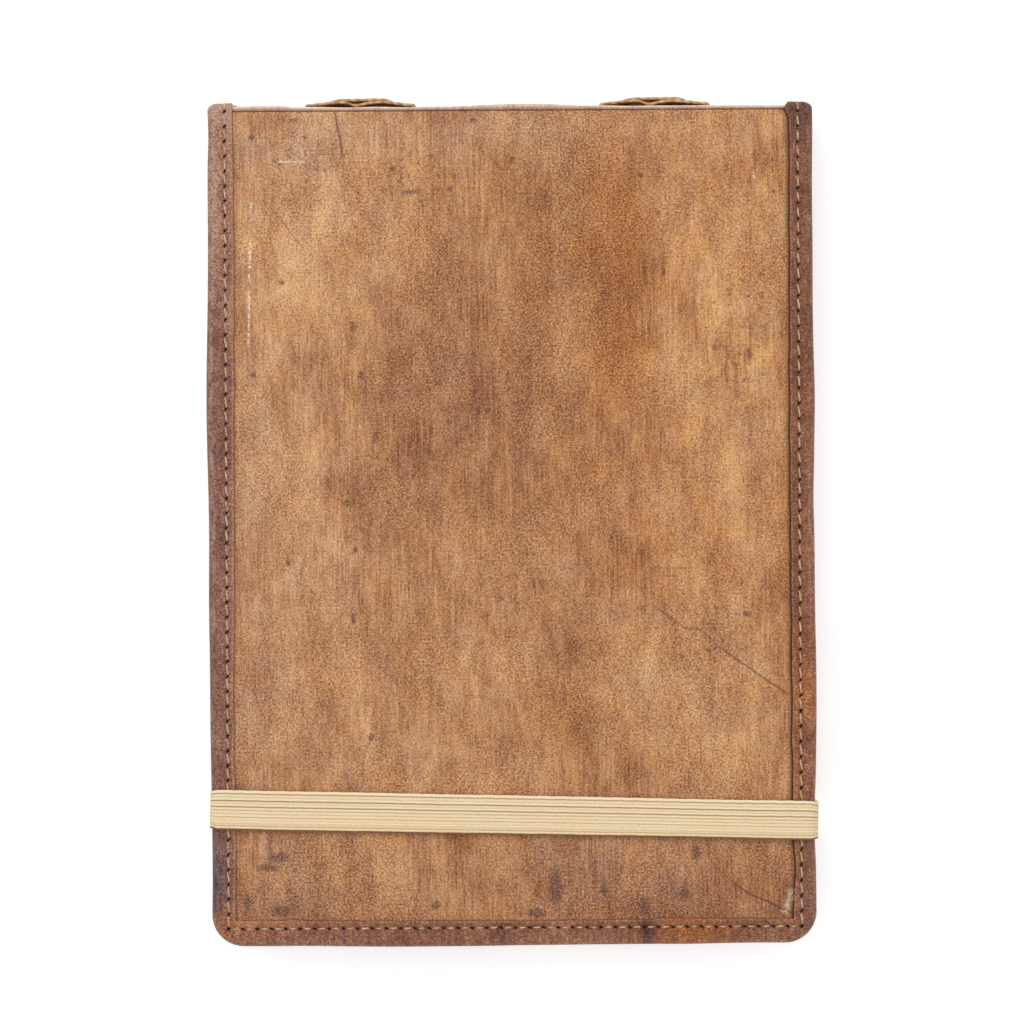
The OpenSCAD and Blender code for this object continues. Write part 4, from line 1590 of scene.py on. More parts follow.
@dataclass
class Cover:
    """One cover with its half of the spine: leather, lining, edge binding and seams."""

    sizes: JournalSizes
    shop: Workshop
    side: Side
    edges: dict[Edge, EdgeShape]
    stains: tuple[StainOrHighlight, ...]
    binding_stains_and_highlights: tuple[StainOrHighlight, ...]
    field_rise: float = 0.6
    inner_leg: float = 6.0
    edge_r: float = 1.85
    crease_depth: float = 0.38
    thread_d: float = 0.62
    stitch_l: float = 2.55
    stitch_arch: float = 0.20
    stitch_dip: float = 0.22
    no_cut: float = 9.0
    side_slant: float = 0.15
    end_slant: float = 0.07
    end_sunk: float = 0.26

    def outline_wave(self, x: Array, y: Array) -> Array:
        """How far the outline of the cover stands out sideways at a point."""
        left = self.edges[Edge.LEFT].wave(y)
        right = self.edges[Edge.RIGHT].wave(y)
        return np.where(x < 0, -left, right)

    def field_columns(self, fine: float, coarse: float) -> Array:
        """Places across the cover, close together beside the binding."""
        half = self.sizes.half_w - self.sizes.binding_t - self.sizes.edge_fit
        left = -self.sizes.half_w + self.edges[Edge.LEFT].width
        right = self.sizes.half_w - self.edges[Edge.RIGHT].width
        parts = [
            np.arange(-half, left - 0.4, coarse * 2), np.arange(left - 0.4, left + 1.6, fine),
            np.arange(left + 1.6, right - 1.6, coarse),
            np.arange(right - 1.6, right + 0.4, fine), np.linspace(right + 0.4, half, 4),
        ]
        return np.unique(np.round(np.concatenate(parts), 4))

    def field_rows(self, section: FoldedSection, fine: float, coarse: float) -> Array:
        """Places along a sheet, close together beside the binding and at the crease."""
        sizes = self.sizes
        end = sizes.loose_y + self.edges[Edge.LOOSE].width
        y = np.concatenate([
            np.arange(section.loose_y, end - 0.4, coarse), np.arange(end - 0.4, end + 1.6, fine),
            np.arange(end + 1.6, sizes.crease_y - 3.0, coarse),
            np.arange(sizes.crease_y - 3.0, sizes.crease_y - 1.2, 0.45),
            np.linspace(sizes.crease_y - 1.2, sizes.crease_y, 10),
        ])
        fold = np.linspace(1, 2, 15)[1:]
        drop = np.linspace(2, 3, 10)[1:]
        return np.concatenate([section.place(np.unique(np.round(y, 4))), fold, drop])

    def sheet_grid(
        self, rows: Array, columns: Array, section: FoldedSection, depth: Array
    ) -> Array:
        """Points of a face of a sheet, drawn in at its two round corners.

        Args:
            rows: Places along the sheet.
            columns: X of each column at the full width.
            section: Course of the sheet across its fold.
            depth: Depth of each point, rows by columns.

        Returns:
            The grid of points for the front cover.
        """
        sizes = self.sizes
        p, x = np.meshgrid(rows, columns, indexing="ij")
        y, z = section.point(p, depth, sizes.spine_bulge(x))
        reach = -section.loose_y + sizes.loose_y + sizes.corner_r
        low = np.clip(section.loose_y + reach - y, 0, reach)
        inset = reach - np.sqrt(np.maximum(reach**2 - low**2, 0))
        half = columns.max()
        x = x * (half - inset) / half
        x = x + self.outline_wave(x, y) * smooth(np.abs(x), 68.5, half)
        return np.stack([x, y, z], 2)

    def rise(self, x: Array, y: Array) -> Array:
        """How far the board raises the outer face of the leather."""
        end = self.sizes.loose_y + self.edges[Edge.LOOSE].width
        across = smooth(68.2 - np.abs(x), 0.0, 2.5)
        along = smooth(y - end, 0.4, 3.2) * smooth(self.sizes.crease_y - 2.9 - y, 0.0, 2.6)
        return self.field_rise * across * along

    def pocket(self, x: Array, y: Array) -> Array:
        """How far the inner face of the leather is raised over the board."""
        low, high = (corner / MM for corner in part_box("front_board"))
        off = np.maximum(np.abs(x) - high.x, np.maximum(low.y - y, y - high.y))
        return (self.field_rise + 0.03) * smooth(off, 0.9, 0.08)

    def gap_to_binding(self, x: Array, y: Array) -> Array:
        """Distance of a point of the leather from the cut edge of the binding, scaled per side to
        set how wide the painted shade beside it is.
        """
        left, right, loose = (self.edges[e] for e in (Edge.LEFT, Edge.RIGHT, Edge.LOOSE))
        half, end = self.sizes.half_w, self.sizes.loose_y
        from_left = 0.3 + (x + half - left.width - left.frayed(y)) * 1.6
        from_right = (half - right.width - right.frayed(y) - x) / 1.9
        from_end = 0.25 + (y - end - loose.width - loose.frayed(x)) * 1.2
        return np.minimum(np.minimum(from_left, from_right), from_end)

    def build_leather(self) -> Piece:
        """Builds the leather of the cover with its half of the spine."""
        sizes = self.sizes
        section = FoldedSection(sizes, sizes.loose_y + sizes.binding_t + sizes.edge_fit)
        rows = self.field_rows(section, 0.25, 1.2)
        columns = self.field_columns(0.25, 1.2)
        p, x = np.meshgrid(rows, columns, indexing="ij")
        y = section.point(p, 0 * p, 0 * x)[0]
        spine = smooth(p, 1.2, 2.0)
        steep = np.where(p > 1, 1.0, 204) / np.where(p > 1, 0.11, 0.16)
        # The crease dips the leather and places the painted shade along it.
        crease = np.exp(-(((p - 1.02) * steep) ** 2))
        swell = 0.07 * ripple(x, y, 34, 5 + self.side.value)
        swell = swell * smooth(68 - np.abs(x), 0, 8) * (1 - spine)
        outer_depth = -self.rise(x, y) - swell + self.crease_depth * crease
        inner_depth = sizes.leather_t - self.pocket(x, y) * (p < 1)
        outer = self.sheet_grid(rows, columns, section, outer_depth)
        inner = self.sheet_grid(rows, columns, section, inner_depth)
        points, faces = shell(outer, inner)
        # gap places the painted shade beside the binding.
        gap = self.gap_to_binding(outer[..., 0], outer[..., 1])
        # Share of wax bloom and painted highlight, strongest round the fold.
        bloom_and_highlight = smooth(p, 1.04, 1.3) * (1 - 0.93 * smooth(p, 1.8, 2.3))
        bloom_and_highlight = bloom_and_highlight * (0.78 + 0.22 * ripple(x, 0 * x, 22, 8))
        bloom_and_highlight = bloom_and_highlight * (1 - 0.38 * np.exp(-(((x - 3) / 20) ** 2)))
        values = sheet_values(points, self.stains)
        fade = 1 - smooth(np.tile(p.ravel(), 2), 1.6, 2.5)
        values = {key: value * fade for key, value in values.items()}
        values["worn"] = worn_share(points)
        for key, value in (("gap", gap), ("crease", crease), ("bloom_and_highlight", bloom_and_highlight), ("spine", spine)):
            values[key] = np.tile(value.ravel(), 2)
        laid = outer * np.array([1, 1, 0])
        down = np.linalg.norm(np.diff(outer, axis=0)[..., 1:], axis=2)
        beyond = np.concatenate([0 * down[:1], np.cumsum(down * (p[1:] > 1), axis=0)])
        laid[..., 1] = np.where(p > 1, sizes.crease_y + beyond, laid[..., 1])
        if self.side is Side.BACK:
            laid[..., 1] = 2 * laid[-1:, :, 1] - laid[..., 1]
        values["sheet_place"] = np.tile(laid.reshape(-1, 3), (2, 1))
        points, faces = sizes.skin_on_side(points, faces, self.side)
        return make_piece(f"{self.side.label}_leather_sheet", points, faces, values)

    def build_lining(self) -> Piece:
        """Builds the lining inside the cover and its half of the spine."""
        sizes = self.sizes
        section = FoldedSection(sizes, sizes.loose_y + sizes.binding_t + sizes.edge_fit)
        rows = self.field_rows(section, 0.8, 3.0)
        columns = self.field_columns(0.8, 3.0)
        p, x = np.meshgrid(rows, columns, indexing="ij")
        y = section.point(p, 0 * p, 0 * x)[0]
        lie = 0.05 * ripple(x, y, 26, 15 + self.side.value)
        lie = lie * smooth(66 - np.abs(x), 0, 6) * (p < 0.97)
        outer = self.sheet_grid(rows, columns, section, sizes.leather_t + 0 * p)
        inner = self.sheet_grid(rows, columns, section, sizes.sheet_t + lie)
        points, faces = shell(outer, inner)
        points, faces = sizes.skin_on_side(points, faces, self.side)
        return make_piece(f"{self.side.label}_lining_sheet", points, faces, {})

    def side_stations(self, shape: EdgeShape) -> tuple[Array, Array, float]:
        """Stations of the binding along a side of the cover.

        Args:
            shape: The left or the right edge.

        Returns:
            Place along the folded section at each station, the place in stitches, and
            the length of the seam down to its corner.
        """
        sizes = self.sizes
        outer_r = sizes.fold_r + sizes.binding_t
        drop = sizes.face_z + sizes.binding_t - outer_r - sizes.mid_z
        fold = outer_r * math.pi / 2
        seam_end = sizes.loose_y + self.edges[Edge.LOOSE].seam
        length = drop + fold + sizes.crease_y - seam_end
        pitch = length / round(length / shape.pitch)
        stop = drop + fold + sizes.crease_y - (sizes.loose_y + sizes.corner_r)
        step = pitch / 8
        s = np.concatenate(
            [np.arange(0, drop - 1, step), np.arange(drop - 1, drop + fold + 2, step / 2)]
        )
        s = np.concatenate([s, np.arange(s[-1] + step / 2, stop - step / 2, step), [stop]])
        flat_y = sizes.crease_y - (s - drop - fold)
        section = FoldedSection(sizes, sizes.loose_y)
        p = np.where(s < drop, 3 - s / drop, 2 - (s - drop) / fold)
        p = np.where(s > drop + fold, section.place(flat_y), p)
        return p, s / pitch, length

    def binding_stations(self) -> dict[str, Array]:
        """Stations of the binding, from the left of the spine round the cover to the right.

        Returns:
            Arrays by name: p, the place along the section; edge, cut and leg, the points in
            the plane of the cover at the outer edge and at the cut edges outside and inside;
            on_side, which is 1 along the sides and 0 elsewhere; and along, the place in
            stitches along a side.
        """
        sizes = self.sizes
        section = FoldedSection(sizes, sizes.loose_y)
        parts: list[dict[str, Array]] = []
        r, half = sizes.corner_r, sizes.half_w
        centre_y = sizes.loose_y + r
        end_shape = self.edges[Edge.LOOSE]

        def side_run(shape: EdgeShape) -> dict[str, Array]:
            """Stations down one side."""
            p, along, _ = self.side_stations(shape)
            y = section.point(p, -sizes.binding_t + 0 * p, 0 * p)[0]
            sign = float(shape.edge.value)
            edge_x = sign * (half + shape.wave(y))
            cut_x = sign * (half - shape.width - shape.frayed(y))
            leg_x = sign * (half - self.inner_leg) + 0 * y
            return {
                "p": p, "edge": np.stack([edge_x, y], 1), "cut": np.stack([cut_x, y], 1),
                "leg": np.stack([leg_x, y], 1), "on_side": np.ones(len(p)), "along": along,
            }

        def corner_run(shape: EdgeShape) -> dict[str, Array]:
            """Stations round one corner, from the side to the end."""
            angle = np.linspace(0, math.pi / 2, 26)[1:-1]
            sign = float(shape.edge.value)
            ray = np.stack([sign * np.cos(angle), -np.sin(angle)], 1)
            centre = np.array([sign * (half - r), centre_y])
            share = angle / (math.pi / 2)
            wave_side = shape.wave(np.array([centre_y]))[0]
            wave_end = end_shape.wave(np.array([sign * (half - r)]))[0]
            out = r + wave_side * (1 - share) + wave_end * share

            def cut(side_width: float, end_width: float) -> Array:
                """Points on the square inner corner."""
                far = np.minimum((r - side_width) / np.cos(angle), (r - end_width) / np.sin(angle))
                return centre + ray * far[:, None]

            return {
                "p": np.zeros(len(angle)), "edge": centre + ray * out[:, None],
                "cut": cut(
                    shape.width + shape.frayed(np.array([centre_y]))[0],
                    end_shape.width + end_shape.frayed(np.array([sign * (half - r)]))[0],
                ),
                "leg": cut(self.inner_leg, self.inner_leg), "on_side": np.zeros(len(angle)),
                "along": np.zeros(len(angle)),
            }

        def end_run() -> dict[str, Array]:
            """Stations along the loose end, from left to right."""
            x = np.linspace(-(half - r), half - r, 321)
            y = sizes.loose_y + 0 * x
            return {
                "p": np.zeros(len(x)), "edge": np.stack([x, y - end_shape.wave(x)], 1),
                "cut": np.stack([x, y + end_shape.width + end_shape.frayed(x)], 1),
                "leg": np.stack([x, y + self.inner_leg], 1), "on_side": np.zeros(len(x)),
                "along": np.zeros(len(x)),
            }

        left, right = self.edges[Edge.LEFT], self.edges[Edge.RIGHT]
        parts.append(side_run(left))
        parts.append(corner_run(left))
        parts.append(end_run())
        parts.append({key: value[::-1] for key, value in corner_run(right).items()})
        parts.append({key: value[::-1] for key, value in side_run(right).items()})
        return {key: np.concatenate([part[key] for part in parts]) for key in parts[0]}

    def seam_places(
        self, points: Array, stations: dict[str, Array], columns: int
    ) -> dict[str, Array]:
        """Places of points of the binding against its seams.

        Args:
            points: Grid of points, stations by columns.
            stations: The binding's stations.
            columns: Number of columns.

        Returns:
            The vectors side_seam and end_seam: place in stitches, distance from the seam,
            and 1 where the seam runs.
        """
        sizes = self.sizes
        x, y = points[..., 0], points[..., 1]
        left, right, end = (self.edges[e] for e in (Edge.LEFT, Edge.RIGHT, Edge.LOOSE))
        seam_y = sizes.loose_y + end.seam
        along = np.repeat(stations["along"][:, None], columns, 1)
        length = {}
        for shape in (left, right):
            length[shape.edge] = self.side_stations(shape)[2]
        total = np.where(x < 0, length[Edge.LEFT], length[Edge.RIGHT])
        pitch_l = length[Edge.LEFT] / round(length[Edge.LEFT] / left.pitch)
        pitch_r = length[Edge.RIGHT] / round(length[Edge.RIGHT] / right.pitch)
        pitch = np.where(x < 0, pitch_l, pitch_r)
        from_y = (total - (y - seam_y)) / pitch
        along = np.where(stations["on_side"][:, None] > 0, along, from_y)
        side_x = sizes.half_w - np.where(x < 0, left.seam, right.seam)
        across = np.abs(x) - side_x
        runs = smooth(y, seam_y - 0.9, seam_y - 0.5)
        side_seam = np.stack([along, across * np.sign(x), runs], 2)
        start = -sizes.half_w + left.seam
        stop = sizes.half_w - right.seam
        end_pitch = (stop - start) / round((stop - start) / end.pitch)
        end_runs = smooth(x, start - 0.9, start - 0.5) * smooth(x, stop + 0.9, stop + 0.5)
        end_runs = end_runs * (stations["on_side"][:, None] < 0.5)
        end_seam = np.stack([(x - start) / end_pitch, y - seam_y, end_runs], 2)
        return {"side_seam": side_seam, "end_seam": end_seam}

    def build_binding(self) -> Piece:
        """Builds the binding, folded round the edge of leather and lining."""
        sizes = self.sizes
        section = FoldedSection(sizes, sizes.loose_y)
        stations = self.binding_stations()
        top, arc, low = 14, 9, 7
        t_top = np.concatenate([[0, 0.025], np.linspace(0.07, 1, top - 2)])
        t_arc = np.linspace(0, math.pi, arc + 2)[1:-1]
        t_low = np.linspace(0, 1, low)
        middle = sizes.sheet_t / 2
        sheet_half = middle + sizes.binding_t
        width = np.linalg.norm(stations["cut"] - stations["edge"], axis=1)[:, None]
        leg = np.linalg.norm(stations["leg"] - stations["edge"], axis=1)[:, None]
        side_p = stations["p"][:, None]
        soft = smooth(side_p, 1.0, 1.6) * stations["on_side"][:, None]
        edge_r = self.edge_r + 0.75 * soft

        outer_u = np.concatenate(
            [
                width + (edge_r - width) * t_top, edge_r * (1 - np.sin(t_arc)),
                edge_r + (leg - edge_r) * t_low,
            ],
            axis=1,
        )
        outer_depth = np.concatenate([
            np.where(t_top == 0, -sizes.binding_t + 0.14, -sizes.binding_t),
            middle - sheet_half * np.cos(t_arc), np.full(low, sizes.sheet_t + sizes.binding_t),
        ])
        hem = sizes.binding_t + sizes.edge_fit * 0.6
        inner_u = np.concatenate(
            [
                width + (hem - width) * t_top, np.repeat(np.full((1, arc), hem), len(width), 0),
                hem + (leg - hem) * t_low,
            ],
            axis=1,
        )
        inner_depth = np.concatenate(
            [np.full(top, 0.0), middle - middle * np.cos(t_arc), np.full(low, sizes.sheet_t)]
        )
        on_low = np.concatenate([np.zeros(top + arc), np.ones(low)]).astype(bool)

        def place(u: Array, depth: Array) -> Array:
            """Points from the distance inwards and the depth."""
            ends = stations["leg"][:, None], stations["cut"][:, None]
            inward = np.where(on_low[None, :, None], *ends)
            far = np.where(on_low[None, :], leg, width)
            edge = stations["edge"][:, None]
            flat = edge + (inward - edge) * (u / far)[..., None]
            p = np.repeat(side_p, u.shape[1], 1)
            y, z = section.point(p, depth, sizes.end_bulge(flat[..., 0]))
            y = np.where(stations["on_side"][:, None] > 0, y, flat[..., 1])
            z = np.where(stations["on_side"][:, None] > 0, z, sizes.face_z - depth)
            return np.stack([flat[..., 0], y, z], 2)

        depth = np.repeat(outer_depth[None], len(width), 0)
        first = place(outer_u, depth)
        seams = self.seam_places(first, stations, depth.shape[1])
        for seam in seams.values():
            near = np.exp(-((seam[..., 1] / 0.55) ** 2)) * seam[..., 2]
            turn = (seam[..., 0] + 0.5) % 1 - 0.5
            hole = np.exp(-((turn * 3.7 / 0.55) ** 2)) * np.exp(-((seam[..., 1] / 0.5) ** 2))
            hole = hole * seam[..., 2]
            pull = 0.10 * near + 0.30 * hole
            depth = depth + np.where(outer_depth < middle, pull, -pull)
        puff = 0.05 * ripple(first[..., 0], first[..., 1], 7, 31)
        puff = puff * (np.abs(outer_depth - middle) > 1.2)
        depth = depth + np.where(outer_depth < middle, puff, -puff)
        outer = place(outer_u, depth)
        inner = place(inner_u, np.repeat(inner_depth[None], len(width), 0))
        points, faces = shell(outer, inner)
        values = sheet_values(points, self.binding_stains_and_highlights)
        # roll places the painted highlight along the rounded outer edge.
        roll = np.exp(-(((outer_u - 1.15) / 0.5) ** 2)) * (outer_depth < middle + 0.5)
        cut = (width - outer_u) * np.where(on_low, 0, 1) + self.no_cut * on_low
        for key, value, hidden in (("roll", roll, 0.0), ("cut", cut, self.no_cut)):
            values[key] = np.concatenate([value.ravel(), np.full(value.size, hidden)])
        for key, value in seams.items():
            off = value.copy()
            off[..., 2] = 0
            values[key] = np.concatenate([value.reshape(-1, 3), off.reshape(-1, 3)])
        points, faces = sizes.skin_on_side(points, faces, self.side)
        return make_piece(f"{self.side.label}_edge_binding", points, faces, values, 60.0)

    def seam_routes(self) -> list[Route]:
        """Lines of the seams on both faces of the cover."""
        sizes = self.sizes
        section = FoldedSection(sizes, sizes.loose_y)
        routes = []
        end = self.edges[Edge.LOOSE]
        seam_y = sizes.loose_y + end.seam
        faces = ((-sizes.binding_t + 0.1, 1.0), (sizes.sheet_t + sizes.binding_t - 0.1, -1.0))
        for depth, out in faces:
            for shape in (self.edges[Edge.LEFT], self.edges[Edge.RIGHT]):
                x = float(shape.edge.value) * (sizes.half_w - shape.seam)
                p = np.concatenate([
                    np.linspace(3, 2, 12), np.linspace(2, 1, 14)[1:],
                    section.place(np.linspace(sizes.crease_y, seam_y, 60)[1:]),
                ])
                sunk = out * 0.32 * np.exp(-(((p - 1.45) / 0.5) ** 2))
                y, z = section.point(p, depth + sunk, sizes.end_bulge(x + 0 * p))
                turn = np.clip(p - 1, 0, 1) * math.pi / 2
                lift = out * np.stack([0 * p, np.sin(turn), np.cos(turn)], 1)
                points = np.stack([x + 0 * p, y, z], 1)
                routes.append(Route(points, lift, shape.pitch, self.side_slant * out))
            x = np.linspace(
                -sizes.half_w + self.edges[Edge.LEFT].seam,
                sizes.half_w - self.edges[Edge.RIGHT].seam, 40,
            )
            sunk = out * self.end_sunk
            points = np.stack([x, seam_y + 0 * x, sizes.face_z - depth - sunk + 0 * x], 1)
            lift = np.tile([0.0, 0.0, out], (len(x), 1))
            routes.append(Route(points, lift, end.pitch, self.end_slant * out))
        if self.side is Side.BACK:
            turned = np.array([1, 1, -1])
            routes = [
                Route(sizes.on_side(r.points, self.side), r.lift * turned, r.pitch, -r.slant)
                for r in routes
            ]
        return routes

    def build_seams(self, thread: Material) -> Piece:
        """Grows the stitches of the cover's seams."""
        lines = make_routes("seam_lines", self.seam_routes(), False)
        values = {
            "Length": self.stitch_l * MM, "Thread": self.thread_d * MM,
            "Arch": self.stitch_arch * MM, "Dip": self.stitch_dip * MM, "Seed": 7,
            "Material": thread,
        }
        return grow(lines, self.shop.stitches, values, f"{self.side.label}_seam_thread")

    def build(
        self, leather: Material, binding: Material, lining: Material, board: Material,
        thread: Material,
    ) -> None:
        """Builds every piece of the cover and dresses it."""
        label, start_end = self.side.label, self.sizes.blend_span(self.side)
        front = self.side is Side.FRONT
        ends = ("left_spine_", "right_spine_")
        pieces = (
            (self.build_leather(), leather, "cover_leather", "cover_leather", ("spine_leather",)),
            (self.build_lining(), lining, "lining", "lining", ("spine_lining",)),
            (
                self.build_binding(), binding, "binding_leather", "binding",
                tuple(f"{end}binding" for end in ends),
            ),
            (
                self.build_seams(thread), None, "thread", "stitching",
                tuple(f"{end}stitching" for end in ends),
            ),
        )
        for piece, material, slot, node, on_spine in pieces:
            nodes = (f"{label}_{node}",) + (on_spine if front else ())
            if material is not None:
                piece.data.materials.append(material)
            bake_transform(piece)
            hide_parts(*nodes)
            report(piece)
        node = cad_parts[f"{label}_board"]
        node.data.materials.clear()
        node.data.materials.append(board)
        log.info("%s keeps its CAD shape", node.name)


@dataclass
class PageBlock:
    """Five folded sections of paper, each of nested sheets."""

    sizes: JournalSizes
    sheets: int = 9
    section_gap: float = 0.03
    leaf_share: float = 0.86
    seed: int = 41

    def sheet(
        self, section_z: float, outer_r: float, thick: float, trim: tuple[float, float, float]
    ) -> tuple[Array, Array]:
        """One folded sheet of a section.

        Args:
            section_z: Height of the middle of the section.
            outer_r: Outer radius of its fold.
            thick: Thickness of the paper.
            trim: How much shorter the sheet is at its left, right and loose edges.

        Returns:
            Points and quads.
        """
        low, high = self.sizes.page_low, self.sizes.page_high
        fold_y = high.y - self.sizes.section_t / 2
        y = np.linspace(low.y + trim[2], fold_y, 14)
        angle = np.linspace(0, math.pi, 11)[1:-1]
        x = np.linspace(low.x + trim[0], high.x - trim[1], 13)

        def face(radius: float) -> Array:
            """Grid over the upper leaf, the fold and the lower leaf."""
            line_y = np.concatenate([y, fold_y + radius * np.sin(angle), y[::-1]])
            line_z = np.concatenate(
                [np.full(len(y), radius), radius * np.cos(angle), np.full(len(y), -radius)]
            )
            grid_y, grid_x = np.meshgrid(line_y, x, indexing="ij")
            grid_z = np.repeat(line_z[:, None], len(x), 1) + section_z
            grid_z = grid_z + 0.07 * ripple(grid_x, grid_y, 60, self.seed)
            return np.stack([grid_x, grid_y, grid_z], 2)

        return shell(face(outer_r), face(outer_r - thick))

    def build(self, paper: Material) -> None:
        """Builds the block, dresses it and joins it to its body."""
        section_t = self.sizes.section_t
        radius = section_t / 2 - self.section_gap
        step = radius / self.sheets
        draw = np.random.default_rng(self.seed)
        all_points, all_faces, count = [], [], 0
        for section in range(self.sizes.sections):
            middle = self.sizes.page_low.z + (section + 0.5) * section_t
            for k in range(self.sheets):
                trim = tuple(draw.uniform(0.0, 0.16, 2)) + (draw.uniform(0, 0.2) + 0.02 * k,)
                outer = radius - k * step
                points, faces = self.sheet(middle, outer, step * self.leaf_share, trim)
                all_points.append(points)
                all_faces.append(faces + count)
                count += len(points)
        piece = make_piece(
            "page_sections", np.concatenate(all_points), np.concatenate(all_faces), {}, 40.0
        )
        piece.data.materials.append(paper)
        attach(piece, "book_block")
        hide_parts("pages")
        report(piece)


@dataclass
class Lashing:
    """One lashing of waxed cord on the spine, a loop for each section of pages."""

    sizes: JournalSizes
    shop: Workshop
    name: str
    middle_x: float
    width: float = 27.0
    cord_d: float = 1.03
    cord_gap: float = 0.04
    low_rise: float = 0.74
    mid_rise: float = 1.05
    high_rise: float = 1.78
    pinch: float = 0.66
    shoulder: float = 0.2
    sag: float = 0.14
    drawn_pitch: float = 1.15

    def point(self, i: int, s: float) -> tuple[float, float, float]:
        """Where cord i lies outside, for s from -1 at its left hole to 1 at its right one."""
        section_t, last = self.sizes.section_t, self.sizes.sections - 1
        drawn = max(math.cos(math.pi / 2 * s), 0.0) ** 0.8
        rank = i - last / 2
        off = np.array(abs(s))
        from_hole = np.array(abs(s + 0.08))
        if i in (0, last):
            rise = self.low_rise * smooth(off, 1.0, 0.5) - self.pinch * smooth(from_hole, 0.22, 0.0)
            if i:
                rise = rise + self.shoulder * np.exp(-(((off - 0.36) / 0.13) ** 2))
        elif rank == 0:
            rise = self.mid_rise * smooth(off, 0.86, 0.36)
        else:
            rise = self.high_rise * smooth(off, 0.86, 0.36) - self.sag * abs(rank - s)
        rise = max(float(rise), 0.0)
        low = self.sizes.spine_y + self.cord_d / 2 + self.cord_gap
        out = max(float(self.sizes.spine_bulge(np.array(self.middle_x + s * self.width / 2))), 0.0)
        return (
            self.middle_x + s * self.width / 2, low + rise + out * 0.3,
            self.sizes.mid_z + rank * (section_t * (1 - drawn) + self.drawn_pitch * drawn),
        )

    def route(self, i: int) -> Array:
        """Closed route of one cord, out of its left hole and back inside the fold."""
        sizes, r = self.sizes, self.cord_d / 2
        section_t = sizes.section_t
        z = sizes.page_low.z + (i + 0.5) * section_t
        left, right = self.middle_x - self.width / 2, self.middle_x + self.width / 2
        inside = sizes.page_high.y - section_t / 2 + r
        outside = sizes.spine_y + self.cord_gap

        def bend(x: float, y: float, start: float, turn: float) -> list[tuple[float, float, float]]:
            """Quarter turn round a point, from a heading in degrees."""
            angles = [math.radians(start + k * turn / 4) for k in range(5)]
            return [(x + r * math.sin(a), y - r * math.cos(a), z) for a in angles]

        steps = 40
        return np.array(
            bend(left + r, inside, 0, -90)
            + bend(left + r, outside, -90, -90)
            + [self.point(i, -1 + 2 * k / steps) for k in range(2, steps - 1)]
            + bend(right - r, outside, 180, -90)
            + bend(right - r, inside, 90, -90)
        )

    def build(self, cord: Material) -> None:
        """Grows the cords, and joins them to their body."""
        courses = [self.route(i) for i in range(self.sizes.sections)]
        lines = make_routes("cord_lines", [Route(course, 0 * course) for course in courses], True)
        values = {
            "Diameter": self.cord_d * 1.06 * MM, "Turn": 7.0 * MM, "Step": 0.45 * MM,
            "Waist": 0.07, "Material": cord,
        }
        piece = grow(lines, self.shop.cords, values, f"{self.name}_lashing_cords")
        piece.data.shade_smooth()
        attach(piece, "book_block")
        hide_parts(f"{self.name}_sewing_cord")
        report(piece)


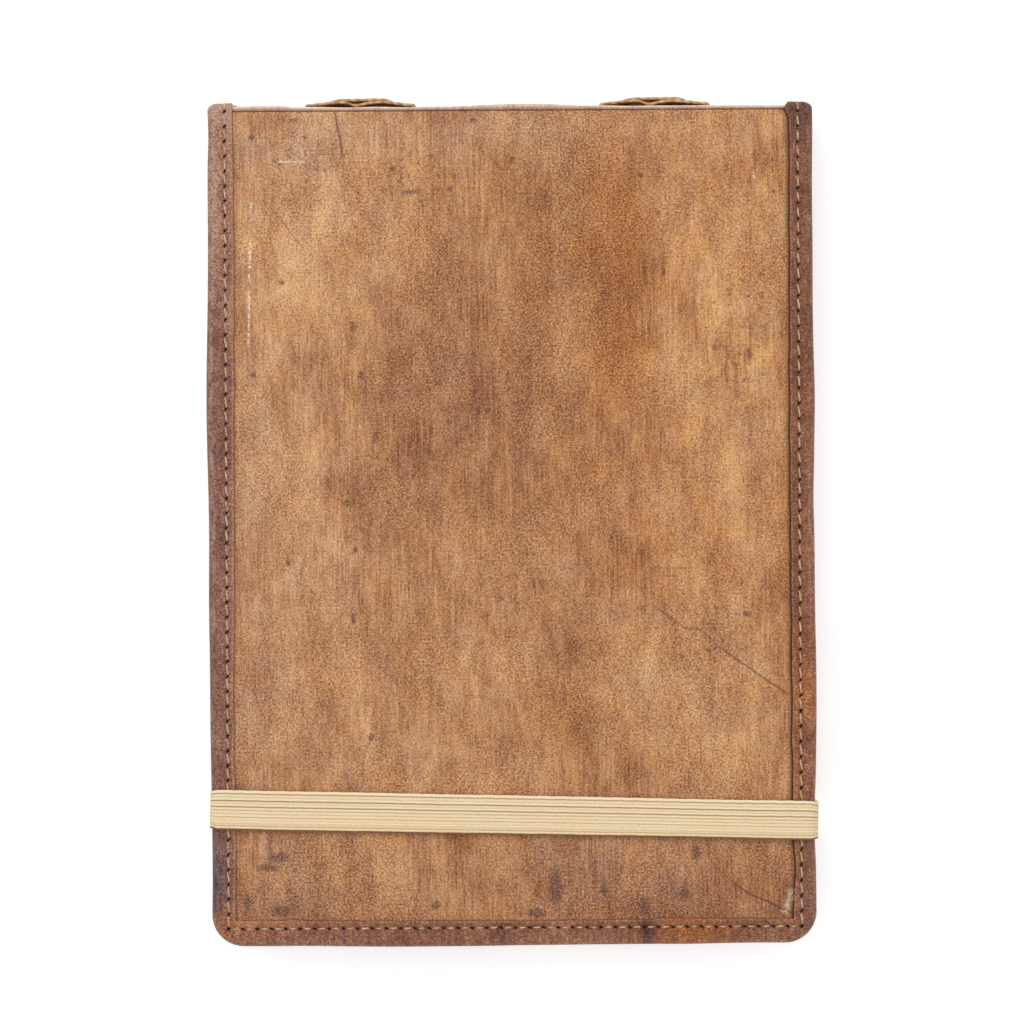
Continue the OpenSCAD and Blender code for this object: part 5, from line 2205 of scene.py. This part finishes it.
@dataclass
class ElasticBand:
    """The elastic round the closed journal, in two halves that meet half way up its sides."""

    sizes: JournalSizes
    shop: Workshop
    width: float = 9.8
    taper: float = 0.016
    thick: float = 0.8
    tilt: float = 1.36
    middle_x: float = 0.2
    lift_y: float = 0.36
    outer_half: float = 75.9
    outer_r: float = 2.7
    slack_share: float = 0.69
    columns: int = 72
    step: float = 0.55
    lap_turns: int = 10
    lap_h: float = 10.0

    def loop(self, inset: float) -> tuple[Array, Array]:
        """Half a loop from the left side over the front to the right side.

        Args:
            inset: Distance of the line from the outer face of the elastic.

        Returns:
            X and Z of its points.
        """
        mid, half = self.sizes.mid_z, self.outer_half
        top = 2 * mid
        r = self.outer_r
        rise = np.linspace(mid, top - r, round((top - r - mid) / self.step))
        angle = np.linspace(0, math.pi / 2, 12)[1:-1]
        run = np.linspace(-half + r, half - r, round(2 * (half - r) / self.step))
        inner = r - inset
        x = np.concatenate([
            np.full(len(rise), -half + inset), -half + r - inner * np.cos(angle), run,
            half - r + inner * np.sin(angle), np.full(len(rise), half - inset),
        ])
        z = np.concatenate([
            rise, top - r + inner * np.sin(angle), np.full(len(run), top - inset),
            top - r + inner * np.cos(angle), rise[::-1],
        ])
        return x, z

    def turned(self, points: Array) -> Array:
        """Tilts points across the cover and moves them to the band's place."""
        a = math.radians(-self.tilt)
        x = points[..., 0] * math.cos(a) - points[..., 1] * math.sin(a) + self.middle_x
        y = points[..., 0] * math.sin(a) + points[..., 1] * math.cos(a)
        y = y + self.sizes.band_y + self.lift_y
        return np.stack([x, y, points[..., 2]], -1)

    def half(self, side: Side, elastic: Material) -> Piece:
        """Builds the half of the band on one side."""
        share = np.linspace(0, 1, self.columns)
        grids = []
        for inset in (0.0, self.thick):
            x, z = self.loop(inset)
            edge = 0.5 - share
            wander = 0.05 * ripple(x, 0 * x, 3, 51 + side.value) + 0.12 * ripple(x, 0 * x, 60, 53)
            lower = 0.05 * ripple(x, 0 * x, 3.5, 55 + side.value) + 0.12 * ripple(x, 0 * x, 70, 57)
            narrow = 1 - 0.085 * smooth(np.abs(x), self.outer_half - 2.2, self.outer_half)
            narrow = narrow * (1 - self.taper * x / self.outer_half)
            y = edge[None] * self.width * narrow[:, None]
            y = y + wander[:, None] * (1 - share[None]) + lower[:, None] * share[None]
            dome = 0.16 * smooth(np.abs(share - 0.5), 0.44, 0.5) * (1 if inset == 0 else -1)
            top = 2 * self.sizes.mid_z
            z_full = z[:, None] - dome[None] * smooth(z[:, None], top - 3, top)
            grids.append(np.stack([np.repeat(x[:, None], self.columns, 1), y, z_full], 2))
        outer, inner = grids
        steps = np.linalg.norm(np.diff(outer[:, 0], axis=0), axis=1)
        along = np.concatenate([[0], np.cumsum(steps)])
        face = np.stack(
            [
                np.repeat(along[:, None], self.columns, 1),
                np.repeat(share[None], len(along), 0), np.ones((len(along), self.columns)),
            ],
            2,
        )
        face[:, [0, -1], 2] = 0
        face[[0, -1], :, 2] = 0
        points, faces = shell(self.turned(outer), self.turned(inner))
        back = face.copy()
        back[..., 2] = 0
        values = {"band_place": np.concatenate([face.reshape(-1, 3), back.reshape(-1, 3)])}
        points, faces = self.sizes.skin_on_side(points, faces, side)
        base = make_piece("elastic_sheet", points, faces, values)
        piece = grow(base, self.shop.elastic, {"Material": elastic}, f"elastic_{side.label}_half")
        piece.data.set_sharp_from_angle(angle=math.radians(60))
        return piece

    def build_lap(self, thread: Material) -> Piece:
        """Grows the zigzag that joins the ends of the elastic, on its left side."""
        mid = self.sizes.mid_z
        count, reach, height = self.lap_turns, 0.7 * self.width, self.lap_h
        zig = np.arange(count)
        route = np.stack(
            [
                np.full(count, -self.outer_half - 0.02),
                np.where(zig % 2 == 0, -reach / 2, reach / 2),
                mid - height / 2 + zig * height / (count - 1),
            ],
            1,
        )
        points = self.turned(route)
        lines = make_routes("lap_line", [Route(points, 0 * points)], False)
        values = {"Diameter": 0.45 * MM, "Turn": 1.5 * MM, "Step": 0.35 * MM, "Material": thread}
        piece = grow(lines, self.shop.cords, values, "elastic_lap_thread")
        piece.data.shade_smooth()
        return piece

    def build(self, elastic: Material, thread: Material) -> None:
        """Builds the band, dresses it and joins it to its body."""
        for side, joint in ((Side.FRONT, "front_hinge"), (Side.BACK, "back_hinge")):
            piece = self.half(side, elastic)
            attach(piece, "elastic_band")
            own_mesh(piece)
            if side is Side.FRONT:
                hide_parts("elastic_band")
            report(piece)
        lap = self.build_lap(thread)
        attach(lap, "elastic_band")
        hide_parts("band_seam")
        report(lap)


@dataclass
class Studio:
    """Pale floor, soft light and the camera over the journal."""

    sizes: JournalSizes
    lens: float = 180.0
    sensor: float = 36.0
    view_w: float = 255.3
    aim: tuple[float, float] = (0.05, 1.9)
    roll: float = 0.31
    floor: tuple[Colour, Colour] = (srgb(240, 240, 240), srgb(246, 246, 246))
    floor_half: float = 4000.0
    glow: Colour = (0.47, 0.47, 0.47, 1.0)
    room: Colour = (0.66, 0.66, 0.67, 1.0)

    def build_camera(self) -> None:
        """Places the camera straight above, at the photograph's scale."""
        data = bpy.data.cameras.new("camera")
        data.lens, data.sensor_width = self.lens, self.sensor
        distance = self.view_w * self.lens / self.sensor
        data.clip_start, data.clip_end = 0.05, 20.0
        camera = add_object("camera", data)
        camera.location = Vector((self.aim[0], self.aim[1], self.sizes.face_z + distance)) * MM
        camera.rotation_euler = (0, 0, math.radians(-self.roll))
        bpy.context.scene.camera = camera

    def floor_material(self) -> Material:
        """A pale floor that is white to the camera and keeps the journal's shadow."""
        paint = Paint("pale_floor", 0.9)
        graph = paint.graph
        fleck = graph.noise(paint.place, 0.02, 3.0, 0.5)
        colour = graph.mix(fleck, *self.floor)
        path = graph.add("ShaderNodeLightPath").outputs
        seen = graph.most(path["Is Camera Ray"], path["Is Glossy Ray"])
        seen = graph.most(seen, path["Is Transmission Ray"])
        glow = graph.mix(seen, (0.0, 0.0, 0.0, 1.0), self.glow)
        graph.feed(paint.shader.inputs["Emission Color"], glow)
        paint.shader.inputs["Emission Strength"].default_value = 1.0
        paint.shader.inputs["Specular IOR Level"].default_value = 0.0
        return paint.finish(colour)

    def build_floor(self) -> None:
        """Lays the floor under the journal."""
        half = self.floor_half
        corners = np.array([[-half, -half, 0], [half, -half, 0], [half, half, 0], [-half, half, 0]])
        floor = make_piece("floor", corners, np.array([[0, 1, 2, 3]]), {})
        floor.data.materials.append(self.floor_material())

    def build_light(self) -> None:
        """Lights the journal with a white room and one large soft lamp."""
        world = bpy.data.worlds.new("room")
        world.use_nodes = True
        graph = Graph(world.node_tree)
        world.node_tree.nodes.clear()
        path = graph.add("ShaderNodeLightPath").outputs
        seen = graph.most(path["Is Camera Ray"], path["Is Transmission Ray"])
        level = graph.mix(seen, self.room, (1.0, 1.0, 1.0, 1.0))
        background = graph.add("ShaderNodeBackground", {"Color": level, "Strength": 1.0})
        output = graph.add("ShaderNodeOutputWorld")
        world.node_tree.links.new(background.outputs[0], output.inputs["Surface"])
        bpy.context.scene.world = world
        for name, place, size, power in (
            ("window", (-0.7, 0.9, 1.3), 1.1, 9.0), ("fill", (0.9, -0.3, 1.4), 1.2, 2.5),
        ):
            data = bpy.data.lights.new(name, "AREA")
            data.shape, data.size, data.energy = "SQUARE", size, power
            lamp = add_object(name, data)
            lamp.location = place
            lamp.rotation_euler = (-Vector(place)).to_track_quat("-Z", "Y").to_euler()

    def build(self) -> None:
        """Sets up camera, floor and light, and how the picture is shown."""
        bpy.context.scene.view_settings.view_transform = "Standard"
        self.build_camera()
        self.build_floor()
        self.build_light()
        log.info("studio is ready")


# The light rows at the top left, at y 86 and from y 96 up over the fold, are painted highlights on
# the binding's rounded edge; the others are stains and tones of the leather.
BINDING_STAINS_AND_HIGHLIGHTS = tuple(StainOrHighlight(*row) for row in (
    (-75, -88, 1.9, 6.5, -0.25, -0.42), (-69.5, -93, 1.3, 7, -0.14, -0.03),
    (-69.5, 10, 1.6, 95, 0.05, -0.055), (71, 0, 1.3, 95, -0.06, 0.02),
    (-72.5, 97, 4, 7, 0.10, 0.02), (-70.3, -26, 1.5, 9, 0.06, 0.0),
    (-70.3, 18, 1.4, 18, -0.12, -0.03), (-70, 96, 1.6, 8, 0.14, 0.0),
    (-73.5, -18, 2.2, 16, 0.08, -0.03), (74, -6, 2.5, 8, 0.12, 0.0),
    (70.3, 73, 1.4, 16, -0.08, -0.03), (71.5, -54, 3, 18, 0.14, 0.05),
    (57, -102.5, 6, 3, -0.07, -0.01), (0, -101.2, 70, 1.0, -0.08, 0.0),
    (-73.5, 86, 0.9, 14, 0.25, -0.05), (-71.3, -88, 1.8, 8, 0.12, -0.08),
    (-73, -101, 5, 3, 0.18, 0.18), (-60, -100, 7, 1.6, 0.12, 0.06),
    (-60, -104, 8, 3, 0.00, 0.02), (45, -104, 9, 4, 0.05, 0.30),
    (33.3, -103, 1.1, 5, -0.5, -0.1), (74, -55, 3, 4, -0.25, -0.03),
    (72.5, 10, 5, 75, -0.10, 0.09), (74.5, -42, 2.5, 9, 0.14, 0.14),
    (74.5, 30, 2.5, 6, 0.08, 0.08), (74.5, -76, 2.5, 6, -0.12, -0.03),
    (73, -60, 4, 30, 0.0, 0.03), (-72, 60, 4, 50, 0.02, -0.01), (-73, -40, 4, 40, -0.08, -0.03),
    (0, -104, 60, 4, 0.0, 0.08), (-71, 104, 6, 2.6, 0.62, -0.10), (73, 101, 5, 5, -0.18, -0.06),
    (74, -100, 4, 4, 0.05, -0.06),
))


def report(piece: Piece) -> None:
    """Logs a piece with its number of triangles."""
    triangles = sum(len(polygon.vertices) - 2 for polygon in piece.data.polygons)
    log.info("%s: %d triangles", piece.name, triangles)


def leather(name: str, sizes: JournalSizes, marks: bool) -> LeatherFinish:
    """Finish of a cover's leather.

    Args:
        name: Name of the material.
        sizes: Sizes of the journal.
        marks: Whether it has the spots and scratches of the front.

    Returns:
        The finish.
    """

    def turned(lines: tuple[Scratch, ...]) -> tuple[Scratch, ...]:
        """The same lines on the back's part of the sheet."""
        return tuple(
            replace(line, route=tuple((x, sizes.sheet_turn - y) for x, y in line.route))
            for line in lines
        )

    spots = tuple(replace(spot, y=sizes.sheet_turn - spot.y) for spot in FRONT_SPOTS[::4])
    return LeatherFinish(
        name, FRONT_SPOTS if marks else spots,
        FRONT_SCRATCHES if marks else turned(FRONT_SCRATCHES[2:6]),
        FRONT_SCUFFS if marks else turned(FRONT_SCUFFS[3:6]), sizes.lashing_x,
        sizes.page_low.z + sizes.section_t / 2, sizes.section_t,
    )


def main() -> None:
    """Builds the journal round its frame."""
    logging.basicConfig(level=logging.INFO, format="%(message)s")
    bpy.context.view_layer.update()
    sizes, shop = JournalSizes.read(), Workshop()

    lining = FibreFinish(
        "napped_lining", srgb(126, 88, 60), srgb(176, 134, 98), 1.0, (1, 1, 1), 0.9, 0.12, 0.25
    ).material(shop)
    board = FibreFinish(
        "grey_board", srgb(132, 128, 118), srgb(172, 168, 158), 0.8, (1, 0.3, 1), 0.9, 0.08
    ).material(shop)
    paper = FibreFinish(
        "cream_paper", srgb(232, 222, 202), srgb(250, 244, 230), 1.0, (1.0, 1.0, 1.6), 0.85, 0.05,
        0.0, 0.12,
    ).material(shop)
    thread = YarnFinish("gold_thread", srgb(220, 160, 112), srgb(255, 220, 176), 2.2).material(shop)
    # The cord's last colour is the painted shade on its inner side.
    cord = YarnFinish(
        "waxed_cord", srgb(168, 116, 68), srgb(230, 190, 136), 0.55, 0.5, srgb(100, 54, 20)
    ).material(shop)
    elastic = ElasticFinish().material(shop)

    for side, edges, stains, marks in (
        (Side.FRONT, FRONT_EDGES, FRONT_STAINS, True),
        (Side.BACK, BACK_EDGES, drawn_stains(61, 22), False),
    ):
        turn = 1 if side is Side.FRONT else -1
        bound = tuple(replace(stain, x=turn * stain.x) for stain in BINDING_STAINS_AND_HIGHLIGHTS)
        skin = leather(f"{side.label}_leather", sizes, marks).material(shop)
        binding = BindingFinish(f"{side.label}_binding_leather", edges).material(shop)
        Cover(sizes, shop, side, edges, stains, bound).build(skin, binding, lining, board, thread)
    PageBlock(sizes).build(paper)
    for name, middle in zip(("left", "right"), sizes.lashing_x):
        Lashing(sizes, shop, name, middle).build(cord)
    ElasticBand(sizes, shop).build(elastic, thread)
    Studio(sizes).build()


if __name__ == "__main__":
    main()
